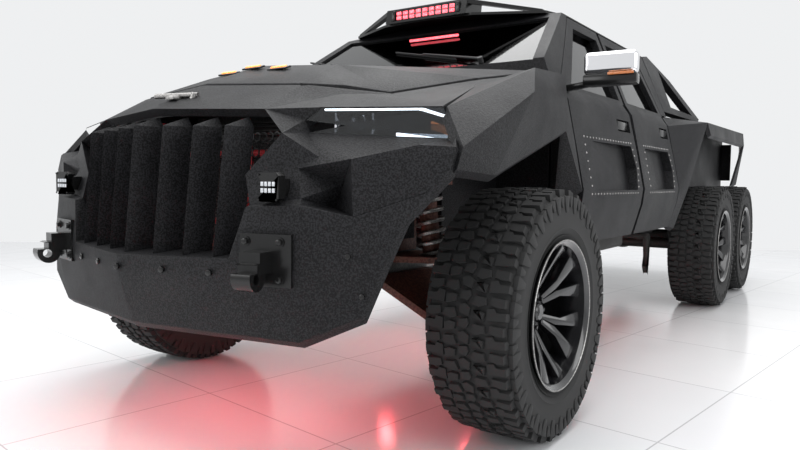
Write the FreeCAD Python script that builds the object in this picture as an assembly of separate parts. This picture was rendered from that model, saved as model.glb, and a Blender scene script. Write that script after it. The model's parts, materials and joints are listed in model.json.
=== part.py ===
import FreeCAD, Part
import os
from math import cos, radians, sin, sqrt
from FreeCAD import Vector

# Six-wheeled off-road pickup truck. Millimetres, +Z up, the truck's nose points along -Y and its left is +X.
# Sizes along Y are measured from the front axle; write() moves every solid so that the origin lies under
# the middle of the whole truck, on the ground.

# --- Driving dimensions -------------------------------------------------------------------------------
WHEELBASE = 3690            # front axle to middle axle
TYRE_R = 502.5
TYRE_WIDTH = 353
TANDEM_GAP = 105            # between the middle and the rear tyre
FRONT_TRACK_X = 1037        # centre plane of a front tyre
REAR_TRACK_X = 1010         # centre plane of a middle or rear tyre
STEER_LOCK = 30             # degrees each way
CAB_REAR_Y = 2640           # outside of the cab's rear wall
ROOF_Z = 1950               # roof edge above the doors
REAR_OVERHANG = 680         # rear axle to the back of the bed
NOSE_Y = -1155              # tip of the bumper

AXLE_Z = TYRE_R
MID_AXLE_Y = WHEELBASE
REAR_AXLE_Y = MID_AXLE_Y + 2 * TYRE_R + TANDEM_GAP
BED_REAR_Y = REAR_AXLE_Y + REAR_OVERHANG
BUMPER_DEPTH = 150
TAIL_Y = BED_REAR_Y + BUMPER_DEPTH
ORIGIN_Y = (NOSE_Y + TAIL_Y) / 2

OUTLINE_TYRE_TOP = 1005     # tyre height that the body outline below is drawn over
LIFT = 2 * TYRE_R - OUTLINE_TYRE_TOP

# --- Clearances ---------------------------------------------------------------------------------------
DOOR_GAP = 6                # doors and tailgate to the fixed body
HOOD_GAP = 13               # hood to the fixed body; its front edge moves forward as it opens
PIN_GAP = 0.4               # tailgate pin in its bore
SPLIT_GAP = 40              # between the front and the rear door
PILLAR_GAP = 9              # door to the pillars behind it
TURN_GAP = 0.4              # hub faces and pivots
SEAT_GAP = 0.3              # curved faces that seat on each other

# --- Cab outline: half widths at each height, and the faces that close it -----------------------------
SILL_Z = 612
DOOR_BOTTOM_Z = 718
FLOOR_Z = 740
FLOOR_T = 40
BELT_Z = 1490
SIDE = [(SILL_Z, 985), (DOOR_BOTTOM_Z, 1005), (900, 1055), (990, 1066), (1220, 1020), (1430, 975),
        (BELT_Z, 935)]
ROOF_HALF = 745
ROOF_CROWN = 45
FRONT_TAPER = 26            # how much narrower the cab is at its front edge
WALL = 50                   # thickness of the upper doors, pillars and roof
DOOR_INNER_X = 870
LINER_T = 62                # pillars behind the doors
CAB_FRONT_Y = 560
SPLIT_Y = 1620              # middle of the gap between the doors
FRONT_DOOR_Y = 655
REAR_DOOR_END_Y = 2500
REAR_DOOR_TOP_Y = 2350
SCREEN_BASE = (500, 1585)   # y, z of the windscreen's lower edge
SCREEN_TOP = (1075, 1962)
PILLAR_TOP_Y = 1130
GLASS_T = 6

# --- Wheels and running gear --------------------------------------------------------------------------
RIM_R = 281                 # where the tyre seats
RIM_LIP_R = 299
RIM_WALL = 14
RIM_HALF = 150              # half the width between the tyre's beads
HUB_FACE = -18              # hub face from the tyre's centre plane, + outboard
HUB_R = 92
SPOKES = 6
KINGPIN_X = 900
KINGPIN_R = 30
BALL_REACH = 172            # ball joints above and below the axle
DISC_R = 180
RAIL_X = 330
RAIL_W = 80
RAIL_H = 140
RAIL_Z = 570
TUBE_R = 48
SPRING_X = 505
SPRING_W = 64

# --- Bed ----------------------------------------------------------------------------------------------
BED_FRONT_Y = CAB_REAR_Y + 45
BED_FLOOR_Z = 945
BED_WALL_X = 800
BED_T = 40
RAIL_TOP_Z = 1540
GATE_T = 56
GATE_HALF = 755
FLARE_X = 1140
ARCH_TOP_Z = 1395

# --- Front --------------------------------------------------------------------------------------------
PLATE = (0, 30, -25)        # how far the inner face of an armour plate lies behind its outer face
FENDER_PLATE = (-28, 0, -22)
HOOD_PLATE = (0, 0, -30)
SLATS = 7
SLAT_PITCH = 128
SLAT_DEPTH = 110
SLAT_HALF = 24


def tyre_reach():
    """Furthest a front tyre comes forward or back of the axle at full lock."""
    outer = FRONT_TRACK_X - KINGPIN_X + TYRE_WIDTH / 2
    return TYRE_R * cos(radians(STEER_LOCK)) + outer * sin(radians(STEER_LOCK))


TOE_Y = tyre_reach() + 62   # front of the sill and toe board


# --- Shape helpers ------------------------------------------------------------------------------------
def box(x0, x1, y0, y1, z0, z1):
    return Part.makeBox(x1 - x0, y1 - y0, z1 - z0, Vector(x0, y0, z0))


def both(x0, x1, y0, y1, z0, z1):
    """The same block on the left and on the right."""
    right = box(-x1, -x0, y0, y1, z0, z1)
    return [box(x0, x1, y0, y1, z0, z1), right]


def tube(start, along, radius, length, bore=0):
    outer = Part.makeCylinder(radius, length, Vector(*start), Vector(*along))
    if not bore:
        return outer
    return outer.cut(Part.makeCylinder(bore, length, Vector(*start), Vector(*along)))


def prism(points, along):
    """Extrudes the closed outline through points along a vector."""
    corners = [Vector(*p) for p in points]
    return Part.Face(Part.makePolygon(corners + corners[:1])).extrude(Vector(*along))


def side_prism(outline, x0, x1):
    """Extrudes a (y, z) outline from x0 to x1."""
    return prism([(x0, y, z) for y, z in outline], (x1 - x0, 0, 0))


def mirror(shape):
    return shape.mirror(Vector(0, 0, 0), Vector(1, 0, 0))


def pair(shape):
    return [shape, mirror(shape)]


def fuse(shapes):
    whole = shapes[0]
    for shape in shapes[1:]:
        whole = whole.fuse(shape)
    return whole.removeSplitter()


def largest(shape):
    """The biggest solid left after a cut."""
    return max(shape.Solids, key=lambda solid: solid.Volume)


def clear_of(shape, others):
    """Cuts away what other pieces already fill and keeps the main solid."""
    for other in others:
        shape = shape.cut(other)
    return largest(shape)


def triangles(ring):
    return [(ring[0], ring[i], ring[i + 1]) for i in range(1, len(ring) - 1)]


def closed_solid(rings):
    """Solid from closed rings of corners; a ring that isn't flat is split from its first corner."""
    faces = []
    for ring in rings:
        wire = Part.makePolygon(ring + ring[:1])
        flat = wire.findPlane(0.001) if len(ring) > 3 else True
        for part in [ring] if flat else triangles(ring):
            faces.append(Part.Face(Part.makePolygon(list(part) + [part[0]])))
    shell = Part.makeShell(faces)
    shell.sewShape()
    solid = Part.makeSolid(shell)
    if solid.Volume < 0:
        solid.reverse()
    return solid


def plate(points, facets, offset):
    """Armour plate: every outer facet thickened by the same offset, joined into one solid."""
    corner = {name: Vector(*p) for name, p in points.items()}
    slabs = []
    for facet in facets:
        names = facet.split()
        wire = Part.makePolygon([corner[n] for n in names] + [corner[names[0]]])
        flat = len(names) == 3 or wire.findPlane(0.001)
        for ring in [tuple(names)] if flat else triangles(names):
            slabs.append(prism([corner[n] for n in ring], offset))
    return fuse(slabs)


def raised(points):
    """The named points, lifted with the body."""
    return {name: (x, y, z + LIFT) for name, (x, y, z) in points.items()}


def plate_pair(points, facets, offset):
    """A plate on the left and its mirror image on the right, as two solids."""
    return pair(plate(points, facets, offset))


def write(name, shapes):
    """Saves one node; shapes that don't touch stay separate solids."""
    shapes = shapes if isinstance(shapes, list) else [shapes]
    solids = [solid for shape in shapes for solid in shape.Solids]
    whole = Part.makeCompound(solids) if len(solids) > 1 else solids[0]
    whole.translate(Vector(0, -ORIGIN_Y, 0))
    whole.exportStep(os.path.join("parts", name + ".step"))
    print(name, len(solids), "solids", round(whole.Volume / 1e6, 1), "litres", whole.isValid())


# --- Cab ----------------------------------------------------------------------------------------------
def section(y, half):
    """Closed outline across the truck at y, from half-width points listed from the bottom up."""
    up = [Vector(x, y, z + LIFT) for z, x in half]
    down = [Vector(-p.x, p.y, p.z) for p in reversed(up)]
    return Part.makePolygon(up + down + up[:1])


def cab_outer_half(narrow):
    lower = [(z, x - narrow) for z, x in SIDE]
    return lower + [(ROOF_Z, ROOF_HALF), (ROOF_Z + ROOF_CROWN * 0.75, ROOF_HALF * 0.6),
                    (ROOF_Z + ROOF_CROWN, 60)]


def cab_block():
    """The cab's outside as one block, before it is hollowed."""
    rings = [section(CAB_FRONT_Y, cab_outer_half(FRONT_TAPER)), section(SPLIT_Y, cab_outer_half(0)),
             section(CAB_REAR_Y, cab_outer_half(0))]
    block = Part.makeLoft(rings, True, True)
    (y0, z0), (y1, z1) = SCREEN_BASE, SCREEN_TOP
    slope = (z1 - z0) / (y1 - y0)
    reach = 700
    ahead = [(y0 - reach, z0 + LIFT - slope * reach), (y1 + reach, z1 + LIFT + slope * reach),
             (y0 - reach, z1 + LIFT + slope * reach)]
    return block.cut(side_prism(ahead, -1300, 1300))


def inner_block(inset, y0, y1):
    """The space inside the cab's walls, inset further by a pillar gap or a pillar's thickness."""
    half = [(FLOOR_Z + FLOOR_T - 200, DOOR_INNER_X - inset), (BELT_Z + 8, DOOR_INNER_X - inset),
            (ROOF_Z - WALL, ROOF_HALF - WALL - inset), (ROOF_Z + ROOF_CROWN * 0.75 - WALL,
                                                        ROOF_HALF * 0.55 - inset)]
    length = y1 - y0
    first = Part.Face(section(y0, half))
    return first.extrude(Vector(0, length, 0))


def screen_slab(depth, thickness, grow=0):
    """A slab parallel to the windscreen, depth behind its outer plane."""
    (y0, z0), (y1, z1) = SCREEN_BASE, SCREEN_TOP
    length = sqrt((y1 - y0) ** 2 + (z1 - z0) ** 2)
    ny = (z1 - z0) / length
    nz = -(y1 - y0) / length
    uy = (y1 - y0) / length
    uz = (z1 - z0) / length
    a = (y0 - uy * grow + ny * depth, z0 + LIFT - uz * grow + nz * depth)
    b = (y1 + uy * grow + ny * depth, z1 + LIFT + uz * grow + nz * depth)
    c = (b[0] + ny * thickness, b[1] + nz * thickness)
    d = (a[0] + ny * thickness, a[1] + nz * thickness)
    return [a, b, c, d]


def front_door_outline(grow=0):
    """Side outline of a front door; grow gives the hole that it closes."""
    rear = SPLIT_Y - SPLIT_GAP / 2
    return [(FRONT_DOOR_Y - grow, DOOR_BOTTOM_Z + LIFT - grow), (rear + grow, DOOR_BOTTOM_Z + LIFT - grow),
            (rear + grow, ROOF_Z - 14 + LIFT + grow), (PILLAR_TOP_Y - grow, ROOF_Z - 14 + LIFT + grow),
            (FRONT_DOOR_Y - grow, BELT_Z + 8 + LIFT + grow)]


def rear_door_outline(grow=0, top_grow=0):
    front = SPLIT_Y + SPLIT_GAP / 2
    return [(front - grow, DOOR_BOTTOM_Z + LIFT - grow), (REAR_DOOR_END_Y + grow,
                                                          DOOR_BOTTOM_Z + LIFT - grow),
            (REAR_DOOR_END_Y + grow, BELT_Z + 8 + LIFT), (REAR_DOOR_TOP_Y + grow + top_grow,
                                                          ROOF_Z - 14 + LIFT + grow),
            (front - grow, ROOF_Z - 14 + LIFT + grow)]


DOOR_TOP_X = ROOF_HALF - WALL - 2
FRAME_W = 58                # width of a door's window frame
FRONT_LIGHT = [(FRONT_DOOR_Y + 150, BELT_Z + 22), (SPLIT_Y - SPLIT_GAP / 2 - FRAME_W, BELT_Z + 22),
               (SPLIT_Y - SPLIT_GAP / 2 - FRAME_W, ROOF_Z - 14 - FRAME_W),
               (PILLAR_TOP_Y + 30, ROOF_Z - 14 - FRAME_W)]
REAR_LIGHT = [(SPLIT_Y + SPLIT_GAP / 2 + FRAME_W, BELT_Z + 22), (REAR_DOOR_END_Y - 75, BELT_Z + 22),
              (REAR_DOOR_TOP_Y - FRAME_W, ROOF_Z - 14 - FRAME_W),
              (SPLIT_Y + SPLIT_GAP / 2 + FRAME_W, ROOF_Z - 14 - FRAME_W)]


def window_prism(outline, x0, x1):
    return side_prism([(y, z + LIFT) for y, z in outline], x0, x1)


def recess(y0, y1, tip):
    """Sunken armour panel in a door's skin: flush at its front edge, deepest at its pointed rear."""
    low, high = 985 + LIFT, 1238 + LIFT
    middle = (low + high) / 2
    far = 1300
    outline = [(y0, low), (y1, low), (y1 + tip, middle), (y1, high), (y0, high)]
    skin = [1060, 1060, 1038, 1012, 1012]
    depth = [10, 52, 60, 52, 10]
    floor = [Vector(x - d, y, z) for x, d, (y, z) in zip(skin, depth, outline)]
    cap = [Vector(far, y, z) for y, z in outline]
    count = len(floor)
    walls = [[floor[i], floor[(i + 1) % count], cap[(i + 1) % count], cap[i]] for i in range(count)]
    return closed_solid([list(reversed(floor)), cap] + walls)


def handle_pocket(y0, y1, z0, z1, x):
    return box(x, 1300, y0, y1, z0 + LIFT, z1 + LIFT)


def door(shell, outline, light, rear_y, recess_box, pocket):
    """Left-hand door: the part of the cab's wall inside the outline, with its window cut."""
    slab = shell.common(side_prism(outline, DOOR_TOP_X, 1300)).cut(window_prism(light, 500, 1300))
    inner = [(DOOR_INNER_X - 300, rear_y - 50 - 90, 0), (DOOR_INNER_X, rear_y - 50, 0), (1022, rear_y, 0),
             (1022, rear_y + 90, 0), (DOOR_INNER_X - 300, rear_y + 90, 0)]
    chamfer = prism(inner, (0, 0, BELT_Z + LIFT))
    slab = slab.cut(chamfer).cut(recess(*recess_box)).cut(handle_pocket(*pocket))
    return slab.removeSplitter()


def door_glass(block, light):
    inset_y = (WALL - GLASS_T) / 2
    outer = inner_block(-WALL + inset_y, CAB_FRONT_Y, CAB_REAR_Y)
    inner = inner_block(-WALL + inset_y + GLASS_T, CAB_FRONT_Y, CAB_REAR_Y)
    return outer.cut(inner).common(window_prism(light, 400, 1300))


def cab_parts():
    block = cab_block()
    hollow = inner_block(0, TOE_Y - 10, CAB_REAR_Y - WALL)
    # Ahead of the doors the walls stay; the hollow starts behind the windscreen's plane.
    ahead = side_prism(screen_slab(-900, 900 + WALL, 900), -1300, 1300)
    shell = block.cut(hollow.cut(ahead))
    return block, shell


def cab_shell(shell, others):
    """Roof, pillars, sills, floor and toe board; others are the pieces it is fitted around."""
    rear = SPLIT_Y + SPLIT_GAP
    inside = DOOR_TOP_X - 2 * DOOR_GAP
    opening = fuse([side_prism(front_door_outline(DOOR_GAP), inside, 1300),
                    side_prism(rear_door_outline(DOOR_GAP, 22), inside, 1300),
                    box(inside, 1300, SPLIT_Y - SPLIT_GAP, rear, DOOR_BOTTOM_Z + LIFT - DOOR_GAP,
                        ROOF_Z - 14 + LIFT + DOOR_GAP)])
    keep = shell.cut(opening).cut(mirror(opening))
    # The nose half of the block below the screen is left to the fenders and the hood.
    keep = keep.cut(box(-1300, 1300, CAB_FRONT_Y - 10, TOE_Y, 0, SCREEN_BASE[1] - 60 + LIFT))
    keep = keep.cut(both(905, 1300, CAB_FRONT_Y - 10, FRONT_DOOR_Y, 0, BELT_Z + 400 + LIFT)[0])
    keep = keep.cut(both(905, 1300, CAB_FRONT_Y - 10, FRONT_DOOR_Y, 0, BELT_Z + 400 + LIFT)[1])
    behind = both(DOOR_INNER_X - 2, 1300, REAR_DOOR_END_Y + DOOR_GAP, CAB_REAR_Y + 10, 0, BELT_Z + 15 + LIFT)
    keep = keep.cut(behind[0]).cut(behind[1])
    keep = keep.cut(box(-DOOR_INNER_X, DOOR_INNER_X, TOE_Y - 20, CAB_REAR_Y + 10, 0, FLOOR_Z + LIFT))
    screen_hole = prism([(x, y, z) for x, y, z in screen_opening()], (0, 260, -350))
    keep = keep.cut(screen_hole)
    rear_hole = box(-520, 520, CAB_REAR_Y - 2 * WALL, CAB_REAR_Y + 10, 1500 + LIFT, 1850 + LIFT)
    keep = keep.cut(rear_hole)
    inner = inner_block(PILLAR_GAP, TOE_Y, CAB_REAR_Y - WALL)
    liner = inner.cut(inner_block(PILLAR_GAP + LINER_T, TOE_Y - 20, CAB_REAR_Y))
    top = ROOF_Z - WALL + LIFT
    hinge_posts = liner.common(box(-900, 900, TOE_Y, TOE_Y + 110, FLOOR_Z + LIFT, BELT_Z + LIFT))
    b_posts = liner.common(box(-900, 900, SPLIT_Y - 55, SPLIT_Y + 55, FLOOR_Z + LIFT, top + WALL))
    floor = box(-DOOR_INNER_X + PILLAR_GAP, DOOR_INNER_X - PILLAR_GAP, TOE_Y, CAB_REAR_Y - WALL,
                FLOOR_Z + LIFT, FLOOR_Z + FLOOR_T + LIFT)
    wall = inner.common(box(-1300, 1300, TOE_Y, TOE_Y + 30, FLOOR_Z + LIFT, SCREEN_BASE[1] - 70 + LIFT))
    return clear_of(fuse([keep, hinge_posts, b_posts, floor, wall]), others)


def screen_opening():
    """Corners of the windscreen's hole on its outer plane."""
    (y0, z0), (y1, z1) = SCREEN_BASE, SCREEN_TOP
    corners = []
    for half, part in ((805, 0.10), (690, 0.90)):
        y = y0 + (y1 - y0) * part
        z = z0 + (z1 - z0) * part + LIFT
        corners.append((half, y, z))
    (w0, ya, za), (w1, yb, zb) = corners
    return [(w0, ya, za), (w1, yb, zb), (-w1, yb, zb), (-w0, ya, za)]


def cab_glass():
    hole = prism(screen_opening(), (0, 260, -350))
    sheet = side_prism(screen_slab(12, GLASS_T), -1000, 1000)
    rear = box(-520, 520, CAB_REAR_Y - WALL / 2, CAB_REAR_Y - WALL / 2 + GLASS_T, 1500 + LIFT, 1850 + LIFT)
    return [sheet.common(hole), rear]


def seat(x0, x1, y0):
    """Cushion, back and head restraint of one seat, leaning back a little."""
    base = FLOOR_Z + FLOOR_T + LIFT
    cushion = box(x0, x1, y0, y0 + 500, base + 180, base + 330)
    pedestal = box(x0 + 60, x1 - 60, y0 + 60, y0 + 440, base, base + 180)
    back_outline = [(y0 + 430, base + 330), (y0 + 560, base + 330), (y0 + 690, base + 900),
                    (y0 + 600, base + 900)]
    back = side_prism(back_outline, x0 + 10, x1 - 10)
    middle = (x0 + x1) / 2
    rest_outline = [(y0 + 605, base + 900), (y0 + 690, base + 900), (y0 + 710, base + 1040),
                    (y0 + 640, base + 1040)]
    rest = side_prism(rest_outline, middle - 130, middle + 130)
    return fuse([cushion, pedestal, back, rest])


def seats():
    bench_y = 1830
    base = FLOOR_Z + FLOOR_T + LIFT
    bench = [box(-680, 680, bench_y, bench_y + 480, base + 150, base + 310),
             box(-620, 620, bench_y + 60, bench_y + 420, base, base + 150),
             side_prism([(bench_y + 410, base + 310), (bench_y + 540, base + 310),
                         (bench_y + 650, base + 880),
                         (bench_y + 560, base + 880)], -670, 670)]
    return pair(seat(150, 680, 1080)) + [fuse(bench)]


def dashboard():
    low = 1120 + LIFT
    high = 1450 + LIFT
    outline = [(TOE_Y + 30, low), (TOE_Y + 200, low), (TOE_Y + 330, low + 130), (TOE_Y + 310, high - 30),
               (TOE_Y + 180, high), (TOE_Y + 30, high)]
    panel = side_prism(outline, -DOOR_INNER_X + 90, DOOR_INNER_X - 90)
    hub = Vector(415, TOE_Y + 470, 1330 + LIFT)
    lean = Vector(0, -0.9, -0.42)
    ring = Part.makeTorus(180, 15, hub, lean)
    column = Part.makeCylinder(32, 260, hub, lean)
    bar = Part.makeBox(350, 24, 40, Vector(hub.x - 175, hub.y - 12, hub.z - 20))
    return fuse([panel, column, ring, bar])


# --- Front armour -------------------------------------------------------------------------------------
BUMPER = raised({
    "a0": (0, -1095, 505), "a1": (0, -1150, 690), "a2": (0, NOSE_Y, 757),
    "b0": (684, -950, 498), "b1": (700, -978, 700), "b2": (700, -968, 945),
    "g0": (455, -1043, 762), "lc": (505, -1012, 935), "le": (840, -870, 910),
    "w0": (890, -886, 596), "w1": (956, -850, 780), "w2": (1000, -812, 912), "w3": (1066, -770, 995),
    "k0": (0, -1010, 770), "k1": (440, -925, 776), "lb": (495, -985, 941), "p2": (686, -942, 965),
    "d2": (710, -800, 930)})
BUMPER_FACETS = [
    "a0 b0 b1 a1", "a1 b1 g0 a2", "b1 b2 lc g0", "b0 w0 w1 b1", "b1 w1 w2 le b2", "le w2 w3",
    "a2 g0 k1 k0", "g0 lc lb k1", "lc b2 p2 lb", "b2 le d2 p2"]

NOSE = raised({
    "lb": (495, -985, 941), "p2": (686, -942, 965), "p1": (641, -909, 1062), "n3": (465, -976, 1040),
    "n2": (590, -930, 1177), "n4": (710, -885, 1100), "bn": (835, -875, 1092), "c1": (1020, -770, 1138),
    "w5": (1128, -722, 1132), "w4": (1118, -745, 1060), "w3": (1066, -770, 995), "le": (840, -870, 910),
    "d1": (742, -800, 1012), "d2": (710, -800, 930),
    "tp": (600, -832, 1226), "bl": (612, -826, 1184), "br": (1052, -640, 1160), "rr": (1066, -632, 1206),
    "u1": (1030, -648, 1268), "u0": (650, -808, 1269),
    "l0": (0, -997, 1279), "n1": (471, -893, 1265), "e1": (600, -640, 1335), "r0": (700, -470, 1347),
    "r1": (950, -270, 1385), "h0": (0, -758, 1394), "h1": (457, -698, 1372), "h2": (538, -540, 1362),
    "h3": (650, -408, 1359)})
NOSE_FACETS = [
    "lb p2 p1 n3", "n3 p1 n4", "n3 n4 n2", "p2 d2 d1 p1", "p1 d1 bn n4", "d1 d2 le bn",
    "bn le w3", "bn w3 w4 c1", "c1 w4 w5", "n2 n4 bl tp", "n4 bn bl", "bn c1 br bl", "c1 w5 br",
    "w5 rr br", "n1 n2 tp", "n1 tp u0", "n1 u0 e1", "e1 u0 u1 r0", "r0 u1 r1",
    "l0 n1 h1 h0", "n1 e1 r0 h1", "h1 r0 h3 h2"]
LAMP_RING = ["tp", "bl", "br", "rr", "u1", "u0"]
LAMP_DEPTH = 70
LAMP_SET_BACK = 4

FENDER = raised({
    "r1": (950, -270, 1385), "r2": (1080, -40, 1472), "r3": (1000, 480, 1519),
    "k1": (1170, -240, 1351), "k2": (1042, 400, 1400), "a1": (1172, -540, 1046), "a2": (1050, 383, 1254),
    "w5": (1142, -705, 1132), "w4": (1132, -725, 1062), "rr": (1078, -618, 1206), "u1": (1040, -634, 1268),
    "h3": (652, -398, 1359), "h4": (872, -100, 1434), "h5": (892, 486, 1538), "t0": (912, 648, 1490),
    "t1": (949, 648, 1430), "t2": (994, 648, 1220), "t3": (1038, 648, 985), "s3": (960, 560, 985),
    "c0": (800, 648, 1532), "r0": (700, -470, 1347), "cx": (800, 486, 1548)})
FENDER_FACETS = [
    "r0 r1 h4 h3", "r1 r2 r3 h5 h4", "u1 rr w5 k1 r2 r1", "w5 w4 a1 k1", "k1 a1 a2 k2",
    "r2 k1 k2 r3", "r3 k2 t1 t0", "k2 a2 t2 t1", "a2 s3 t3 t2", "h5 r3 t0 c0", "h5 c0 cx"]

HOOD = raised({
    "h0": (0, -750, 1400), "h1": (450, -690, 1378), "h2": (530, -532, 1368), "h3": (642, -400, 1366),
    "h4": (862, -98, 1442), "h5": (882, 480, 1546), "h6": (0, 480, 1586), "m1": (0, -440, 1514),
    "m2": (390, -410, 1490), "m3": (430, 480, 1580)})
HOOD_FACETS = ["h0 h1 m2 m1", "h1 h2 h3 m2", "m1 m2 m3 h6", "m2 h3 h4", "m2 h4 h5 m3"]


def whole_plate(points, facets, offset):
    """A plate that crosses the centre line, made of its left half and the mirror image."""
    left = plate(points, facets, offset)
    return left.fuse(mirror(left)).removeSplitter()


def front_bumper():
    return whole_plate(BUMPER, BUMPER_FACETS, PLATE)


def hood_space(gap):
    """The hood's plan outline, grown by a gap, as a tall block."""
    edge = [HOOD[name] for name in ("h0", "h1", "h2", "h3", "h4", "h5")]
    plan = [(x + gap * (1 if x else 0), y - gap, 0) for x, y, z in edge]
    plan[-1] = (plan[-1][0], HOOD["h5"][1] + gap, 0)
    plan += [(-x, y, z) for x, y, z in reversed(plan) if x]
    return prism(plan, (0, 0, 3000 + LIFT))


def hood():
    """Faceted lid over the engine, trimmed plumb at its edges."""
    return largest(whole_plate(HOOD, HOOD_FACETS, HOOD_PLATE).common(hood_space(0)))


def nose_armour():
    """Cheeks, lamp surrounds and the panel ahead of the hood."""
    whole = whole_plate(NOSE, NOSE_FACETS, PLATE)
    return clear_of(whole, [hood_space(HOOD_GAP), front_bumper()])


def fenders(cab):
    """Front fenders with their flares, and the inner panels beside the engine."""
    strut_hole = box(500, 700, -112, 112, 0, 1050 + LIFT)
    inner = [clear_of(side, [strut_hole, mirror(strut_hole), nose_armour(),
                             cab]) for side in inner_fenders()]
    fitted = [nose_armour(), hood_space(HOOD_GAP), cab, front_lamps()[0], front_lamps()[1]]
    outer = [clear_of(side, fitted) for side in plate_pair(FENDER, FENDER_FACETS, FENDER_PLATE)]
    return outer + inner


def lamp_block(grow, depth0, depth1):
    """The headlamp's outline, pushed in behind the panel's face."""
    ring = [Vector(*NOSE[name]) for name in LAMP_RING]
    middle = sum(ring, Vector()) * (1 / len(ring))
    ring = [middle + (p - middle) * grow for p in ring]
    front = [p + Vector(0, depth0, 0) for p in ring]
    back = [p + Vector(0, depth1, 0) for p in ring]
    count = len(ring)
    walls = [[front[i], front[(i + 1) % count], back[(i + 1) % count], back[i]] for i in range(count)]
    return closed_solid([front, list(reversed(back))] + walls)


def front_lamps():
    head = clear_of(lamp_block(1, LAMP_SET_BACK, LAMP_DEPTH), [nose_armour()])
    pod = box(570, 640, -1012, -935, 965 + LIFT, 1035 + LIFT)
    return pair(head) + pair(clear_of(pod, [nose_armour()]))


def slat(k):
    """One grille blade: sharp in front, wider behind, with a sloping top facet."""
    side = abs(k)
    low = 735 + LIFT
    high = 1213 - 3 * side + LIFT
    x0 = k * SLAT_PITCH
    x1 = x0 * 1.03
    y0 = -1126 + 25 * side
    y1 = -1078 + 25 * side
    foot = [Vector(x0, y0, low), Vector(x0 + SLAT_HALF, y0 + SLAT_DEPTH, low),
            Vector(x0 - SLAT_HALF, y0 + SLAT_DEPTH, low)]
    head = [Vector(x1, y1, high), Vector(x1 + SLAT_HALF, y1 + SLAT_DEPTH, high),
            Vector(x1 - SLAT_HALF, y1 + SLAT_DEPTH, high)]
    peak = Vector(x1, y1 + SLAT_DEPTH, high + 38)
    rings = [list(reversed(foot)), [foot[0], foot[1], head[1], head[0]],
             [foot[1], foot[2], head[2], head[1]],
             [foot[2], foot[0], head[0], head[2]], [head[0], head[1], peak], [head[1], head[2], peak],
             [head[2], head[0], peak]]
    return closed_solid(rings)


def slats():
    fitted = [front_bumper(), nose_armour()]
    return [clear_of(slat(k), fitted) for k in range(-(SLATS // 2), SLATS // 2 + 1)]


def grille_mesh():
    outline = [(-905, 740 + LIFT), (-885, 740 + LIFT), (-830, 1300 + LIFT), (-850, 1300 + LIFT)]
    return clear_of(side_prism(outline, -610, 610), [front_bumper(), nose_armour(), frame_rails()] + slats())


def tow_hook():
    """Hook on a bracket plate that is bolted to the bumper's face."""
    turn = FreeCAD.Rotation(Vector(0, 0, 1), 13.7)
    back = Part.makeBox(190, 14, 170, Vector(0, -14, 0))
    stem = Part.makeBox(76, 64, 70, Vector(40, -78, 45))
    body = Part.makeCylinder(44, 70, Vector(43, -86, 38), Vector(1, 0, 0))
    slot = Part.makeCylinder(17, 90, Vector(30, -92, 34), Vector(1, 0, 0))
    gap = Part.makeBox(90, 60, 26, Vector(30, -148, 52))
    hook = fuse([back, stem, body]).cut(slot).cut(gap).removeSplitter()
    hook.Placement = FreeCAD.Placement(Vector(499, -1021, 680 + LIFT), turn)
    return clear_of(hook, [front_bumper()])


def inner_fenders():
    outline = [(-790, 780 + LIFT), (TOE_Y, 780 + LIFT), (TOE_Y, 1400 + LIFT), (200, 1380 + LIFT),
               (-560, 1290 + LIFT),
               (-790, 1200 + LIFT)]
    return pair(side_prism(outline, 560, 572))


# --- Running gear -------------------------------------------------------------------------------------
def frame_rails():
    y0 = -870
    y1 = BED_REAR_Y - 20
    rails = both(RAIL_X, RAIL_X + RAIL_W, y0, y1, RAIL_Z + LIFT, RAIL_Z + RAIL_H + LIFT)
    cross = []
    for y in (-860, 250, 1000, 1750, 2500, MID_AXLE_Y - 560, (MID_AXLE_Y + REAR_AXLE_Y) / 2 - 40, y1 - 90):
        cross.append(box(-RAIL_X, RAIL_X, y, y + 80, RAIL_Z + 20 + LIFT, RAIL_Z + RAIL_H - 30 + LIFT))
    mounts = []
    for y in (TOE_Y + 40, 1500, CAB_REAR_Y - 190, BED_FRONT_Y + 60, MID_AXLE_Y, REAR_AXLE_Y, y1 - 120):
        top = FLOOR_Z if y < CAB_REAR_Y else BED_FLOOR_Z
        mounts += both(RAIL_X, RAIL_X + RAIL_W, y, y + 90, RAIL_Z + RAIL_H + LIFT, top + LIFT)
    horns = []
    for x in (RAIL_X, -RAIL_X - RAIL_W):
        horns.append(box(x, x + RAIL_W, -960, y0, RAIL_Z + LIFT, RAIL_Z + RAIL_H + LIFT))
    return clear_of(fuse(rails + cross + mounts + horns), [front_bumper(), drive_shafts(), exhaust()])


def arm(z0, z1, inner_x, inner_z, spread):
    """Wishbone: a wide foot on the frame and a narrow end under or over the kingpin."""
    reach = 46
    points = [(inner_x, -spread, inner_z), (inner_x + 60, -spread, inner_z), (KINGPIN_X - 60, -reach, z0),
              (KINGPIN_X, -reach, z0), (KINGPIN_X, reach, z0), (KINGPIN_X - 60, reach, z0),
              (inner_x + 60, spread, inner_z), (inner_x, spread, inner_z)]
    thick = Vector(0, 0, z1 - z0)
    foot = [Vector(*p) for p in points]
    web = [foot[0], foot[1], foot[2], foot[5], foot[6], foot[7]]
    top = [p + thick for p in web]
    count = len(web)
    walls = [[web[i], web[(i + 1) % count], top[(i + 1) % count], top[i]] for i in range(count)]
    slab = closed_solid([list(reversed(web)), top] + walls)
    end = Part.makeCylinder(reach, z1 - z0, Vector(KINGPIN_X, 0, z0))
    neck = box(KINGPIN_X - 62, KINGPIN_X, -reach, reach, z0, z1)
    return fuse([slab, end, neck])


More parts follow.
